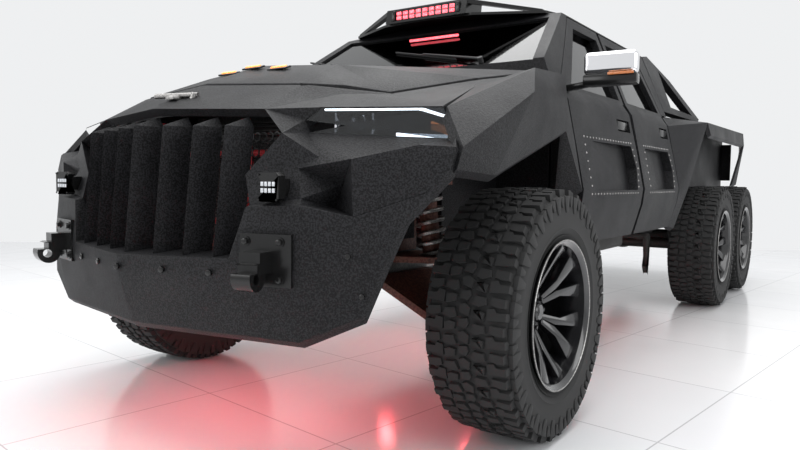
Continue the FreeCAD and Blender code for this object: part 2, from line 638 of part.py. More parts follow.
def front_suspension():
    low = AXLE_Z - BALL_REACH - TURN_GAP
    high = AXLE_Z + BALL_REACH + TURN_GAP
    inner = RAIL_X + RAIL_W
    rail_z = RAIL_Z + LIFT
    lower = arm(low - 34, low, inner, rail_z + 4, 230)
    upper = arm(high, high + 26, inner, rail_z + RAIL_H - 40, 150)
    base = Vector(620, 0, rail_z - 118)
    top = Vector(560, 0, 1010 + LIFT)
    strut = Part.makeCylinder(40, (top - base).Length, base, top - base)
    strut = strut.cut(upper).cut(lower)
    strut = largest(strut)
    tower = box(inner, 640, -90, 90, 1010 + LIFT, 1040 + LIFT)
    post = box(inner, inner + 40, -90, 90, rail_z + RAIL_H, 1010 + LIFT)
    foot = box(inner - 30, inner + 40, -90, 90, rail_z + RAIL_H, rail_z + RAIL_H + 30)
    side = fuse([lower, upper, tower, post, foot]).fuse(strut).removeSplitter()
    rack = tube((-440, -250, rail_z - 40), (1, 0, 0), 32, 880)
    lugs = both(RAIL_X + 10, RAIL_X + 60, -282, -218, rail_z - 40, rail_z)
    return pair(side) + [fuse([rack] + lugs)]


def knuckle():
    """Left steering knuckle with its brake disc and hub, about a vertical kingpin."""
    post = Part.makeCylinder(KINGPIN_R, 2 * BALL_REACH, Vector(KINGPIN_X, 0, AXLE_Z - BALL_REACH))
    carrier = box(KINGPIN_X - 34, KINGPIN_X + 30, -75, 75, AXLE_Z - 95, AXLE_Z + 95)
    face = FRONT_TRACK_X + HUB_FACE - TURN_GAP
    spindle = tube((KINGPIN_X, 0, AXLE_Z), (1, 0, 0), 58, face - 20 - KINGPIN_X)
    disc = tube((KINGPIN_X + 48, 0, AXLE_Z), (1, 0, 0), DISC_R, 26)
    hub = tube((face - 22, 0, AXLE_Z), (1, 0, 0), 84, 22)
    caliper = box(KINGPIN_X + 36, KINGPIN_X + 92, 95, 200, AXLE_Z - 70, AXLE_Z + 70)
    steer_arm = box(KINGPIN_X - 34, KINGPIN_X - 4, -190, -60, AXLE_Z - 60, AXLE_Z - 25)
    return fuse([post, carrier, spindle, disc, hub, caliper, steer_arm])


def driven_axle(y):
    """Solid axle: tube, central gear case, brake discs and hub flanges."""
    face = REAR_TRACK_X + HUB_FACE - TURN_GAP
    casing = tube((-face + 20, y, AXLE_Z), (1, 0, 0), TUBE_R, 2 * face - 40)
    case = Part.makeSphere(165, Vector(0, y, AXLE_Z))
    nose = tube((0, y - 260, AXLE_Z + 20), (0, 1, 0), 62, 260)
    parts = [casing, case, nose]
    for side in (1, -1):
        parts.append(tube((side * (face - 22), y, AXLE_Z), (side, 0, 0), 84, 22))
        parts.append(tube((side * (face - 96), y, AXLE_Z), (side, 0, 0), DISC_R, 26))
    pads = both(SPRING_X - SPRING_W / 2, SPRING_X + SPRING_W / 2, y - 70, y + 70, AXLE_Z + 20, AXLE_Z + 72)
    return fuse(parts + pads)


def leaf_pack(y):
    """Leaf spring over the axle, hung from the frame at both ends."""
    half = 500
    low = AXLE_Z + 72
    steps = ((half, 0), (half * 0.75, 14), (half * 0.45, 28))
    leaves = [box(SPRING_X - SPRING_W / 2, SPRING_X + SPRING_W / 2, y - w, y + w, low + 28 - rise,
                  low + 42 - rise)
              for w, rise in steps]
    hangers = []
    for end in (y - half, y + half - 60):
        hangers.append(box(RAIL_X + RAIL_W, SPRING_X + SPRING_W / 2, end, end + 60, low + 42,
                           RAIL_Z + RAIL_H + LIFT))
    return fuse(leaves + hangers)


def rim(x_side, track, y):
    """Wheel: barrel with two lips, hub disc and spokes; x_side is +1 on the left."""
    outer = RIM_R - SEAT_GAP
    inner = outer - RIM_WALL
    lip = TYRE_WIDTH / 2 - 2
    barrel = tube((-RIM_HALF - 10, 0, 0), (1, 0, 0), outer, RIM_HALF + 10 + lip, inner)
    back_lip = tube((-RIM_HALF - 10, 0, 0), (1, 0, 0), RIM_LIP_R, 10 - SEAT_GAP, inner)
    front_lip = tube((lip - 10, 0, 0), (1, 0, 0), RIM_LIP_R, 10, inner)
    hub = tube((HUB_FACE, 0, 0), (1, 0, 0), HUB_R, 75)
    parts = [barrel, back_lip, front_lip, hub]
    reach = inner + 4
    for number in range(SPOKES):
        root = [Vector(HUB_FACE + 14, -30, HUB_R - 20), Vector(HUB_FACE + 14, 30, HUB_R - 20),
                Vector(HUB_FACE + 72, 26, HUB_R - 20), Vector(HUB_FACE + 72, -26, HUB_R - 20)]
        tip = [Vector(96, -52, reach), Vector(96, 52, reach), Vector(142, 44, reach),
               Vector(142, -44, reach)]
        walls = [[root[i], root[(i + 1) % 4], tip[(i + 1) % 4], tip[i]] for i in range(4)]
        spoke = closed_solid([list(reversed(root)), tip] + walls)
        spoke.rotate(Vector(0, 0, 0), Vector(1, 0, 0), 360 / SPOKES * number)
        parts.append(spoke)
    wheel = fuse(parts)
    return placed_wheel(wheel, x_side, track, y)


def tyre(x_side, track, y):
    half = TYRE_WIDTH / 2
    profile = [(RIM_R, RIM_HALF), (RIM_LIP_R + 2, RIM_HALF), (RIM_LIP_R + 14, half - 8),
               ((TYRE_R + RIM_R) / 2, half), (TYRE_R - 38, half - 4),
               (TYRE_R - 8, half - 18), (TYRE_R, half - 48)]
    ring = [Vector(x, 0, r) for r, x in profile] + [Vector(-x, 0, r) for r, x in reversed(profile)]
    face = Part.Face(Part.makePolygon(ring + ring[:1]))
    return placed_wheel(face.revolve(Vector(0, 0, 0), Vector(1, 0, 0), 360), x_side, track, y)


def placed_wheel(wheel, x_side, track, y):
    if x_side < 0:
        wheel = mirror(wheel)
    wheel.translate(Vector(x_side * track, y, AXLE_Z))
    return wheel


def engine_block():
    """The engine as one plain block on its two frame mounts."""
    block = box(-290, 290, -560, 250, RAIL_Z + RAIL_H + 10 + LIFT, 1290 + LIFT)
    feet = both(250, RAIL_X + RAIL_W, -260, -160, RAIL_Z + RAIL_H + LIFT, RAIL_Z + RAIL_H + 80 + LIFT)
    return fuse([block] + feet)


def drive_shafts():
    z = RAIL_Z + 40 + LIFT
    gearbox = box(-170, 170, 330, 1000, z - 40, z + 70)
    transfer = box(-170, 280, 1080, 1300, z - 90, z + 60)
    link = tube((0, 1000, z), (0, 1, 0), 45, 80)
    bell = box(-200, 200, 250 + 80, 335, z - 40, z + 70)
    rear = tube((0, 1300, z - 20), (0, MID_AXLE_Y - 260 - 1300, AXLE_Z + 20 - z + 20), 44,
                sqrt((MID_AXLE_Y - 1560) ** 2 + (AXLE_Z + 40 - z) ** 2))
    return clear_of(fuse([gearbox, transfer, link, bell, rear]), [driven_axle(MID_AXLE_Y)])


def exhaust():
    z = RAIL_Z + 70 + LIFT
    pipe = tube((-250, 400, z), (0, 1, 0), 32, 1500)
    silencer = box(-310, -195, 1900, 2480, z - 75, z + 45)
    return fuse([pipe, silencer])


def fuel_tank():
    tank = box(RAIL_X + RAIL_W, 760, 1150, 2250, RAIL_Z + 10 + LIFT, FLOOR_Z - 20 + LIFT)
    return tank.makeFillet(30, [edge for edge in tank.Edges if abs(edge.tangentAt(0).y) > 0.9])


# --- Bed ----------------------------------------------------------------------------------------------
PIN_R = 9
PIN_REACH = 16              # how far a tailgate pin enters the bed wall


def gate_pin(x0, x1, radius):
    """Hinge pin of the tailgate, or its bore."""
    return Part.makeCylinder(radius, x1 - x0, Vector(x0, BED_REAR_Y - 20, BED_FLOOR_Z + 44 + LIFT),
                             Vector(1, 0, 0))


def bed_box():
    floor = box(-BED_WALL_X, BED_WALL_X, BED_FRONT_Y, BED_REAR_Y - GATE_T - 2 * DOOR_GAP, BED_FLOOR_Z + LIFT,
                BED_FLOOR_Z + BED_T + LIFT)
    front = box(-BED_WALL_X, BED_WALL_X, BED_FRONT_Y, BED_FRONT_Y + BED_T, BED_FLOOR_Z + LIFT,
                RAIL_TOP_Z - 20 + LIFT)
    walls = both(BED_WALL_X - BED_T, BED_WALL_X, BED_FRONT_Y, BED_REAR_Y - 4, BED_FLOOR_Z + LIFT,
                 RAIL_TOP_Z - 20 + LIFT)
    gate_space = box(-GATE_HALF - DOOR_GAP, GATE_HALF + DOOR_GAP, BED_REAR_Y - GATE_T - DOOR_GAP,
                     BED_REAR_Y + 10,
                     BED_FLOOR_Z + LIFT - 5, 2000 + LIFT)
    bore = gate_pin(GATE_HALF - 10, GATE_HALF + 2 * PIN_REACH, PIN_R + PIN_GAP)
    return clear_of(fuse([floor, front] + walls), [gate_space, bore, mirror(bore)])


def bed_points():
    arch_front = MID_AXLE_Y - TYRE_R
    q = REAR_DOOR_END_Y + DOOR_GAP + 4
    end = BED_REAR_Y
    return raised({
        "q0": (1003, q, 722), "q1": (1055, q, 900), "q2": (1066, q, 990), "q3": (1020, q, 1220),
        "q4": (975, q, 1430), "q5": (936, q, 1488), "s0": (1010, arch_front - 560, 700),
        "s1": (1080, arch_front - 430, 1010), "s2": (FLARE_X, arch_front - 170, 1485),
        "i0": (BED_WALL_X + 2, q, 1520), "i1": (BED_WALL_X + 2, end, RAIL_TOP_Z),
        "v0": (930, arch_front - 170, 1520), "v1": (935, end, 1548),
        "f1": (FLARE_X - 60, REAR_AXLE_Y + 330, 1532), "f2": (1015, end, 1510),
        "l0": (FLARE_X + 12, arch_front - 90, ARCH_TOP_Z), "l1": (FLARE_X - 50, REAR_AXLE_Y + 340,
                                                                  ARCH_TOP_Z + 20),
        "l2": (1020, end, ARCH_TOP_Z - 10), "m1": (960, REAR_AXLE_Y + TYRE_R + 60, 1020),
        "m2": (980, end, 1020)})


BED_FACETS = ["q0 s0 s1 q1", "q1 s1 q2", "q2 s1 s2 q3", "q3 s2 q4", "q4 s2 v0 q5", "q5 v0 i0", "i0 v0 v1 i1",
              "v0 s2 f1 v1", "v1 f1 f2", "s2 l0 l1 f1", "f1 l1 l2 f2", "l1 m1 m2 l2"]
BED_PLATE = (-26, 0, -20)


def bed_sides():
    plates = [clear_of(side, [bed_box()]) for side in plate_pair(bed_points(), BED_FACETS, BED_PLATE)]
    arch_front = MID_AXLE_Y - TYRE_R
    wells = []
    for side in pair(box(BED_WALL_X, BED_WALL_X + 30, arch_front - 500, BED_REAR_Y - 2, BED_FLOOR_Z + LIFT,
                         RAIL_TOP_Z - 60 + LIFT)):
        wells.append(side)
    return [fuse([outer, well]) for outer, well in zip(plates, wells)]


def sail_panels(cab):
    """Sloping buttress from the roof's rear corner down to the bed rail, with a three-cornered window."""
    q = CAB_REAR_Y + 8
    points = raised({
        "a": (912, q, 1545), "b": (748, q - 30, 1950), "c": (740, q + 120, 1975), "d": (790, q + 640, 1850),
        "e": (925, q + 1130, 1575), "f": (930, q + 1060, 1548), "w0": (898, q + 250, 1600),
        "w1": (775, q + 330, 1890),
        "w2": (915, q + 900, 1590)})
    facets = ["a w0 w1 b", "b w1 c", "c w1 d", "d w1 w2 e", "e w2 f", "f w2 w0 a"]
    fitted = [cab] + bed_sides() + [bed_box()]
    return [clear_of(side, fitted) for side in plate_pair(points, facets, (-55, 0, -12))]


def tailgate():
    low = BED_FLOOR_Z + 30 + LIFT
    gate = box(-GATE_HALF, GATE_HALF, BED_REAR_Y - GATE_T, BED_REAR_Y, low, RAIL_TOP_Z - 14 + LIFT)
    ledge = box(-GATE_HALF + 80, GATE_HALF - 80, BED_REAR_Y - 14, BED_REAR_Y + 10, low + 130, low + 430)
    pin = gate_pin(GATE_HALF - 10, GATE_HALF + PIN_REACH, PIN_R)
    return fuse([gate.cut(ledge), pin, mirror(pin)])


HITCH_BORE = 50.8
HITCH_WALL = 7
HITCH_LENGTH = 230
HITCH_Z = 590


def rear_bumper():
    z0 = 610 + LIFT
    z1 = 800 + LIFT
    y0 = BED_REAR_Y + 4
    outline = [(y0, z0), (TAIL_Y - 40, z0), (TAIL_Y, z0 + 60), (TAIL_Y, z1 - 40), (TAIL_Y - 50, z1),
               (y0, z1)]
    beam = side_prism(outline, -930, 930)
    corners = [prism([(930, y0, z0), (930, TAIL_Y - 40, z0), (1010, y0 + 20, z0)], (0, 0, z1 - z0))]
    corners += [mirror(corners[0])]
    half = HITCH_BORE / 2
    centre = HITCH_Z + LIFT
    outer = box(-half - HITCH_WALL, half + HITCH_WALL, TAIL_Y - HITCH_LENGTH, TAIL_Y,
                centre - half - HITCH_WALL,
                centre + half + HITCH_WALL)
    bore = box(-half, half, TAIL_Y - HITCH_LENGTH - 1, TAIL_Y + 1, centre - half, centre + half)
    brackets = both(RAIL_X, RAIL_X + RAIL_W, BED_REAR_Y - 20, y0, RAIL_Z + 60 + LIFT, RAIL_Z + RAIL_H + LIFT)
    return clear_of(fuse([beam, outer] + corners + brackets), [bore, frame_rails()])


def tail_lamps():
    lamps = both(GATE_HALF + 50, GATE_HALF + 50 + 110, BED_REAR_Y - 30, BED_REAR_Y + 14, 1120 + LIFT,
                 1440 + LIFT)
    return [clear_of(lamp, bed_sides() + [bed_box()]) for lamp in lamps]


# --- Roof lights and mirrors --------------------------------------------------------------------------
BAR_HALF = 235              # half the light bar's length
BAR_Z = 1975
BAR_H = 59
BAR_BACK_Y = 879


def roof_visor(cab):
    """Visor over the windscreen with a raised housing for the light bar and a strut to each end."""
    base = LIFT
    points = raised({
        "f0": (0, 850, 1958), "f1": (300, 862, 1955), "f2": (657, 1047, 1958), "g0": (0, 858, 1968),
        "b0": (0, 1190, 2003), "b1": (400, 1190, 1988), "b2": (690, 1190, 1962)})
    sheet = whole_plate(points, ["f0 f1 b1 b0", "f1 f2 b2 b1"], (0, 0, 14))
    housing_outline = [(828, 1962 + base), (1010, 1990 + base), (1020, 2052 + base), (845, 2046 + base)]
    housing = side_prism(housing_outline, -275, 275)
    bar_space = box(-BAR_HALF, BAR_HALF, 800, BAR_BACK_Y + 1, BAR_Z + base, BAR_Z + BAR_H + base)
    strut = closed_solid([[Vector(*p) for p in ring] for ring in strut_rings(base)])
    return clear_of(fuse([sheet, housing, strut, mirror(strut)]), [cab, bar_space])


def strut_rings(base):
    inner = [(270, 850, 2022 + base), (270, 850, 2046 + base), (270, 900, 2048 + base),
             (270, 900, 2024 + base)]
    outer = [(640, 1040, 1962 + base), (640, 1040, 1980 + base), (640, 1075, 1980 + base),
             (640, 1075, 1962 + base)]
    walls = [[inner[i], inner[(i + 1) % 4], outer[(i + 1) % 4], outer[i]] for i in range(4)]
    return [list(reversed(inner)), outer] + walls


def light_bar():
    """Light bar, seated on the floor of the visor's housing."""
    return box(-BAR_HALF + SEAT_GAP, BAR_HALF - SEAT_GAP, 826, BAR_BACK_Y, BAR_Z + LIFT,
               BAR_Z + BAR_H - 1 + LIFT)


def door_mirror():
    head = [(1015, 655, 1500), (1262, 660, 1500), (1272, 690, 1500), (1255, 775, 1500), (1020, 770, 1500)]
    head = prism([(x, y, z + LIFT - 12) for x, y, z in head], (0, 0, 160))
    arm = box(900, 1030, 690, 750, 1496 + LIFT, 1530 + LIFT)
    return head, arm


def mirrors(door_solid):
    head, arm = door_mirror()
    return clear_of(fuse([head, arm]), [door_solid])


# --- All nodes ----------------------------------------------------------------------------------------
def build():
    os.makedirs("parts", exist_ok=True)
    block, shell = cab_parts()
    front = door(shell, front_door_outline(), FRONT_LIGHT, SPLIT_Y - SPLIT_GAP / 2, (790, 1500, 42),
                 (1330, 1545, 1318, 1385, 960))
    rear = door(shell, rear_door_outline(), REAR_LIGHT, REAR_DOOR_END_Y, (1790, 2360, 42),
                (2240, 2440, 1330, 1398, 956))
    mirror_left = mirrors(front)
    for side, turn in (("left", lambda shape: shape), ("right", mirror)):
        write("front_door_" + side, turn(front))
        write("rear_door_" + side, turn(rear))
        write("front_glass_" + side, turn(door_glass(block, FRONT_LIGHT)))
        write("rear_glass_" + side, turn(door_glass(block, REAR_LIGHT)))
        write("mirror_" + side, turn(mirror_left))
        write("knuckle_" + side, turn(knuckle()))
    cab = cab_shell(shell, bed_sides())
    write("cab_shell", cab)
    write("cab_glass", cab_glass())
    write("seats", seats())
    write("dashboard", dashboard())
    write("roof_visor", roof_visor(cab))
    write("light_bar", light_bar())
    write("front_bumper", front_bumper())
    write("nose_armour", nose_armour())
    write("front_lamps", front_lamps())
    write("grille_slats", slats())
    write("grille_mesh", grille_mesh())
    write("tow_hooks", pair(tow_hook()))
    write("fenders", fenders(cab))
    write("hood", hood())
    write("frame_rails", frame_rails())
    write("front_suspension", front_suspension())
    write("rear_axles", [driven_axle(MID_AXLE_Y), driven_axle(REAR_AXLE_Y)])
    write("leaf_springs", pair(leaf_pack(MID_AXLE_Y)) + pair(leaf_pack(REAR_AXLE_Y)))
    write("engine_block", engine_block())
    write("drive_shafts", drive_shafts())
    write("exhaust", exhaust())
    write("fuel_tank", fuel_tank())
    write("bed_box", bed_box())
    write("bed_sides", bed_sides())
    write("sail_panels", sail_panels(cab))
    write("tailgate", tailgate())
    write("rear_bumper", rear_bumper())
    write("tail_lamps", tail_lamps())
    for place, track, y in (("front", FRONT_TRACK_X, 0), ("middle", REAR_TRACK_X, MID_AXLE_Y),
                            ("rear", REAR_TRACK_X, REAR_AXLE_Y)):
        for side, sign in (("left", 1), ("right", -1)):
            write("rim_" + place + "_" + side, rim(sign, track, y))
            write("tyre_" + place + "_" + side, tyre(sign, track, y))


build()
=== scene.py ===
"""Looks of an armoured six-wheeled off-road pickup, around its CAD parts. Metres, nose along -Y."""

import json
import logging
import math
from dataclasses import dataclass
from enum import Enum
from functools import lru_cache

import bmesh
import bpy
from mathutils import Matrix, Vector
from mathutils.bvhtree import BVHTree

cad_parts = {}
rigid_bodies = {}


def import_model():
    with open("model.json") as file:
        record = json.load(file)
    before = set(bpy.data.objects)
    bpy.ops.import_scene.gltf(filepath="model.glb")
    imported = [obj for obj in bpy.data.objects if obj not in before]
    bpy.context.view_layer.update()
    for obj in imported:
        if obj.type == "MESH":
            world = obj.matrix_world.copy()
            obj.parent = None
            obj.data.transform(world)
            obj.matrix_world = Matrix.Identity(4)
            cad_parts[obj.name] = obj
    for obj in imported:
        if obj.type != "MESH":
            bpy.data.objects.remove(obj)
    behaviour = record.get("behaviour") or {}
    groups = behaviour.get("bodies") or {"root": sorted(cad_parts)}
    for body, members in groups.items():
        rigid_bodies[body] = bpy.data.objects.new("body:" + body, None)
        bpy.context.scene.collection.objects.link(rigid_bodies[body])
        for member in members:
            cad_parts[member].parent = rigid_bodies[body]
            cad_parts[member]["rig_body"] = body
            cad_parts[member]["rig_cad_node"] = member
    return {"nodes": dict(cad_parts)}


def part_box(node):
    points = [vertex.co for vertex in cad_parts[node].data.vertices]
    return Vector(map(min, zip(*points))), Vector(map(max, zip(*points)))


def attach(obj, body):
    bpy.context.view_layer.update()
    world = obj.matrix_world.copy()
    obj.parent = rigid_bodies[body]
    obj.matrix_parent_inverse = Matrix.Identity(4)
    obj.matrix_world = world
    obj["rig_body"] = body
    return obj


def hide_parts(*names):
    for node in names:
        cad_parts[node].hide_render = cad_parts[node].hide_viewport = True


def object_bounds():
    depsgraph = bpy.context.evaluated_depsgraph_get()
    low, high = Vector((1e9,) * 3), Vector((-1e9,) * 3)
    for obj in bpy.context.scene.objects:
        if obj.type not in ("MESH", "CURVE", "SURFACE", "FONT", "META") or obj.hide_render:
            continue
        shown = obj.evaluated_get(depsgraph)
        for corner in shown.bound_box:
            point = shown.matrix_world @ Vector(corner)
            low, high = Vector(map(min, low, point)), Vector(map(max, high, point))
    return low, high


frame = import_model()
CAD_LOW, CAD_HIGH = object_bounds()
log = logging.getLogger("truck")

TYRE_LOW, TYRE_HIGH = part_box("tyre_front_left")
AXLE = (TYRE_LOW + TYRE_HIGH) / 2
TYRE_RADIUS = (TYRE_HIGH.z - TYRE_LOW.z) / 2
TYRE_HALF = (TYRE_HIGH.x - TYRE_LOW.x) / 2
FULL_TURN = 2 * math.pi


def at(x: float, y: float, z: float) -> Vector:
    """A point given from the front axle.

    Args:
        x: metres to the left of the centre line.
        y: metres behind the front axle.
        z: metres above the ground.

    Returns:
        The point in the shared frame.
    """
    return Vector((x, AXLE.y + y, z))


# --- Finishes -----------------------------------------------------------------------------------------


class Grain(Enum):
    """How a finish's surface relief is made."""

    SPECKLE = "coarse sprayed grit"
    FINE = "fine even grain"
    BRUSHED = "lines drawn along the piece"
    HIDE = "creased leather"


class NodeSheet:
    """A material's node tree while it is wired."""

    def __init__(self, name: str) -> None:
        """Starts an empty material.

        Args:
            name: the material's name.
        """
        self.material = bpy.data.materials.new(name)
        self.material.use_nodes = True
        self.tree = self.material.node_tree
        self.shader = self.tree.nodes["Principled BSDF"]
        place = self.tree.nodes.new("ShaderNodeTexCoord")
        self.place = place.outputs["Object"]

    def add(self, kind: str, **inputs: object) -> bpy.types.Node:
        """Adds a node and sets its inputs, linking those given as sockets.

        Args:
            kind: the node's type name.
            inputs: input names, with underscores for spaces, and their values or source sockets.

        Returns:
            The new node.
        """
        node = self.tree.nodes.new(kind)
        for key, value in inputs.items():
            socket = node.inputs[key.replace("_", " ")]
            if isinstance(value, bpy.types.NodeSocket):
                self.tree.links.new(value, socket)
            else:
                socket.default_value = value
        return node

    def noise(self, scale: float, detail: float = 3.0, stretch: tuple = (1, 1, 1)) -> bpy.types.NodeSocket:
        """A noise pattern fixed to the piece.

        Args:
            scale: repeats per metre.
            detail: how many finer layers it holds.
            stretch: how much it is squeezed along each axis.

        Returns:
            The pattern's value socket.
        """
        mapped = self.add("ShaderNodeMapping", Vector=self.place, Scale=stretch)
        node = self.add("ShaderNodeTexNoise", Vector=mapped.outputs[0], Scale=scale, Detail=detail,
                        Roughness=0.55)
        return node.outputs["Fac"]

    def spread(self, source: bpy.types.NodeSocket, low: float, high: float) -> bpy.types.NodeSocket:
        """Maps a pattern's middle range onto low to high.

        Args:
            source: the pattern.
            low: value where the pattern is dark.
            high: value where it is bright.

        Returns:
            The mapped value socket.
        """
        node = self.add("ShaderNodeMapRange", Value=source, From_Min=0.3, From_Max=0.7, To_Min=low,
                        To_Max=high)
        return node.outputs[0]

    def blend(self, source: bpy.types.NodeSocket, first: tuple, second: tuple) -> bpy.types.NodeSocket:
        """Blends two colours by a pattern.

        Args:
            source: the pattern.
            first: colour where it is dark.
            second: colour where it is bright.

        Returns:
            The colour socket.
        """
        ramp = self.add("ShaderNodeValToRGB", Fac=source)
        ramp.color_ramp.elements[0].position = 0.38
        ramp.color_ramp.elements[1].position = 0.66
        ramp.color_ramp.elements[0].color = (*first, 1)
        ramp.color_ramp.elements[1].color = (*second, 1)
        return ramp.outputs[0]

    def link(self, source: bpy.types.NodeSocket, target: str) -> None:
        """Wires a socket to one of the shader's inputs."""
        self.tree.links.new(source, self.shader.inputs[target])

    def relief(self, source: bpy.types.NodeSocket, depth: float) -> None:
        """Raises the surface by a pattern.

        Args:
            source: the height pattern.
            depth: height of the pattern in metres.
        """
        bump = self.add("ShaderNodeBump", Height=source, Strength=0.9, Distance=depth)
        self.link(bump.outputs[0], "Normal")


@dataclass(frozen=True)
class Finish:
    """An opaque finish with its grain, colour drift and wear."""

    name: str
    slot: str
    colour: tuple
    drift: tuple
    rough: tuple
    grain: Grain
    scale: float
    depth: float
    metal: float = 0.0
    coat: float = 0.0
    shine: float = 0.5

    def pattern(self, sheet: NodeSheet) -> bpy.types.NodeSocket:
        """Makes the grain.

        Args:
            sheet: the material being wired.

        Returns:
            The grain's height socket.
        """
        if self.grain is Grain.BRUSHED:
            return sheet.noise(self.scale, 2.0, (1, 0.06, 1))
        if self.grain is Grain.HIDE:
            cells = sheet.add("ShaderNodeTexVoronoi", Vector=sheet.place, Scale=self.scale)
            return cells.outputs["Distance"]
        if self.grain is Grain.SPECKLE:
            return sheet.noise(self.scale, 5.0)
        return sheet.noise(self.scale, 2.0)

    def material(self) -> bpy.types.Material:
        """Makes the material once and hands it out again after that.

        Returns:
            The material.
        """
        made = bpy.data.materials.get(self.name)
        if made:
            return made
        sheet = NodeSheet(self.name)
        height = self.pattern(sheet)
        patches = sheet.noise(2.3, 4.0)
        both = sheet.add("ShaderNodeMath")
        both.operation = "MULTIPLY_ADD"
        sheet.tree.links.new(patches, both.inputs[0])
        both.inputs[1].default_value = 0.35
        sheet.tree.links.new(sheet.spread(height, -0.1, 0.75), both.inputs[2])
        sheet.link(sheet.blend(both.outputs[0], self.colour, self.drift), "Base Color")
        sheet.link(sheet.spread(patches, *self.rough), "Roughness")
        sheet.shader.inputs["Metallic"].default_value = self.metal
        sheet.shader.inputs["Coat Weight"].default_value = self.coat
        sheet.shader.inputs["Specular IOR Level"].default_value = self.shine
        sheet.shader.inputs["Coat Roughness"].default_value = 0.06
        sheet.relief(height, self.depth)
        return sheet.material


@dataclass(frozen=True)
class Pane:
    """A clear or tinted finish."""

    name: str
    slot: str
    tint: tuple
    clear: float
    rough: float = 0.03

    def material(self) -> bpy.types.Material:
        """Makes the material once and hands it out again after that.

        Returns:
            The material.
        """
        made = bpy.data.materials.get(self.name)
        if made:
            return made
        sheet = NodeSheet(self.name)
        film = sheet.noise(6.0, 4.0)
        sheet.link(sheet.blend(film, self.tint, tuple(c * 1.15 for c in self.tint)), "Base Color")
        sheet.link(sheet.spread(film, self.rough, self.rough + 0.03), "Roughness")
        sheet.shader.inputs["Transmission Weight"].default_value = self.clear
        sheet.shader.inputs["IOR"].default_value = 1.45
        return sheet.material


@dataclass(frozen=True)
class Glow:
    """A lit lamp face with a faint pattern of facets."""

    name: str
    slot: str
    colour: tuple
    power: float

    def material(self) -> bpy.types.Material:
        """Makes the material once and hands it out again after that.

        Returns:
            The material.
        """
        made = bpy.data.materials.get(self.name)
        if made:
            return made
        sheet = NodeSheet(self.name)
        facets = sheet.noise(240.0, 1.0)
        sheet.link(sheet.blend(facets, self.colour, tuple(min(1.0, c + 0.12) for c in self.colour)),
                   "Base Color")
        sheet.link(sheet.blend(facets, self.colour, tuple(min(1.0, c + 0.2) for c in self.colour)),
                   "Emission Color")
        sheet.shader.inputs["Emission Strength"].default_value = self.power
        sheet.shader.inputs["Roughness"].default_value = 0.25
        return sheet.material


ARMOUR = Finish("sprayed_armour", "armour_paint", (0.0035, 0.0035, 0.004), (0.020, 0.020, 0.022),
                (0.42, 0.62),
                Grain.SPECKLE, 170.0, 0.0020, shine=0.2)
GLOSS = Finish("gloss_black", "gloss_black", (0.006, 0.006, 0.007), (0.012, 0.012, 0.013), (0.10, 0.22),
               Grain.FINE, 320.0, 0.0001, coat=0.5)
CHASSIS = Finish("chassis_paint", "chassis_black", (0.010, 0.010, 0.010), (0.040, 0.038, 0.035), (0.40, 0.70),
                 Grain.FINE, 140.0, 0.0006)
PRIMER = Finish("red_primer", "chassis_black", (0.085, 0.028, 0.020), (0.16, 0.062, 0.042), (0.45, 0.7),
                Grain.FINE, 90.0, 0.0008)
CHROME = Finish("chrome", "chrome", (0.36, 0.37, 0.38), (0.46, 0.47, 0.48), (0.06, 0.16),
                Grain.FINE, 60.0, 0.0001, metal=1.0)
STEEL = Finish("machined_steel", "raw_steel", (0.22, 0.215, 0.21), (0.40, 0.39, 0.38), (0.28, 0.5),
               Grain.BRUSHED, 260.0, 0.0002, metal=1.0)
RUBBER = Finish("tyre_rubber", "tyre_rubber", (0.012, 0.012, 0.013), (0.030, 0.029, 0.028), (0.60, 0.84),
                Grain.FINE, 210.0, 0.0007, shine=0.35)
WHEEL = Finish("wheel_lacquer", "wheel_black", (0.005, 0.005, 0.006), (0.010, 0.010, 0.011), (0.14, 0.26),
               Grain.FINE, 300.0, 0.0001, coat=0.6)
MESH = Finish("grille_coating", "mesh_black", (0.008, 0.008, 0.009), (0.022, 0.022, 0.024), (0.45, 0.65),
              Grain.FINE, 260.0, 0.0003)
PLASTIC = Finish("grained_plastic", "trim_plastic", (0.012, 0.012, 0.013), (0.030, 0.030, 0.031), (0.5, 0.68),
                 Grain.HIDE, 380.0, 0.0005)
LEATHER = Finish("seat_hide", "seat_leather", (0.014, 0.013, 0.013), (0.036, 0.033, 0.031), (0.42, 0.6),
                 Grain.HIDE, 190.0, 0.0009)
STRAP = Finish("red_webbing", "lamp_red", (0.30, 0.006, 0.010), (0.50, 0.020, 0.026), (0.4, 0.6),
               Grain.BRUSHED, 300.0, 0.0006)
TINT = Pane("tinted_glass", "glass_tint", (0.022, 0.026, 0.026), 1.0)
LENS = Pane("lamp_lens", "lamp_clear", (0.34, 0.36, 0.38), 1.0, 0.02)
RED_LENS = Pane("red_lens", "lamp_red", (0.55, 0.01, 0.02), 0.6, 0.08)
WHITE_GLOW = Glow("daylight_strip", "lamp_clear", (0.80, 0.90, 1.0), 6.0)
RED_GLOW = Glow("red_diode", "lamp_red", (1.0, 0.03, 0.06), 2.2)
UNDER_GLOW = Glow("red_floor_lamp", "lamp_red", (1.0, 0.02, 0.03), 150.0)
AMBER_GLOW = Glow("amber_diode", "lamp_clear", (1.0, 0.24, 0.01), 1.6)
AMBER_LENS = Glow("amber_lens", "lamp_clear", (0.45, 0.12, 0.01), 0.15)
DIODE = Glow("white_diode", "lamp_clear", (0.55, 0.57, 0.60), 0.12)


# --- Workbench ----------------------------------------------------------------------------------------


def deselect() -> None:
    """Leaves edit mode and lets go of everything."""
    if bpy.context.object and bpy.context.object.mode != "OBJECT":
        bpy.ops.object.mode_set(mode="OBJECT")
    bpy.ops.object.select_all(action="DESELECT")


def pick(piece: bpy.types.Object) -> None:
    """Selects one piece alone and makes it active."""
    deselect()
    piece.select_set(True)
    bpy.context.view_layer.objects.active = piece


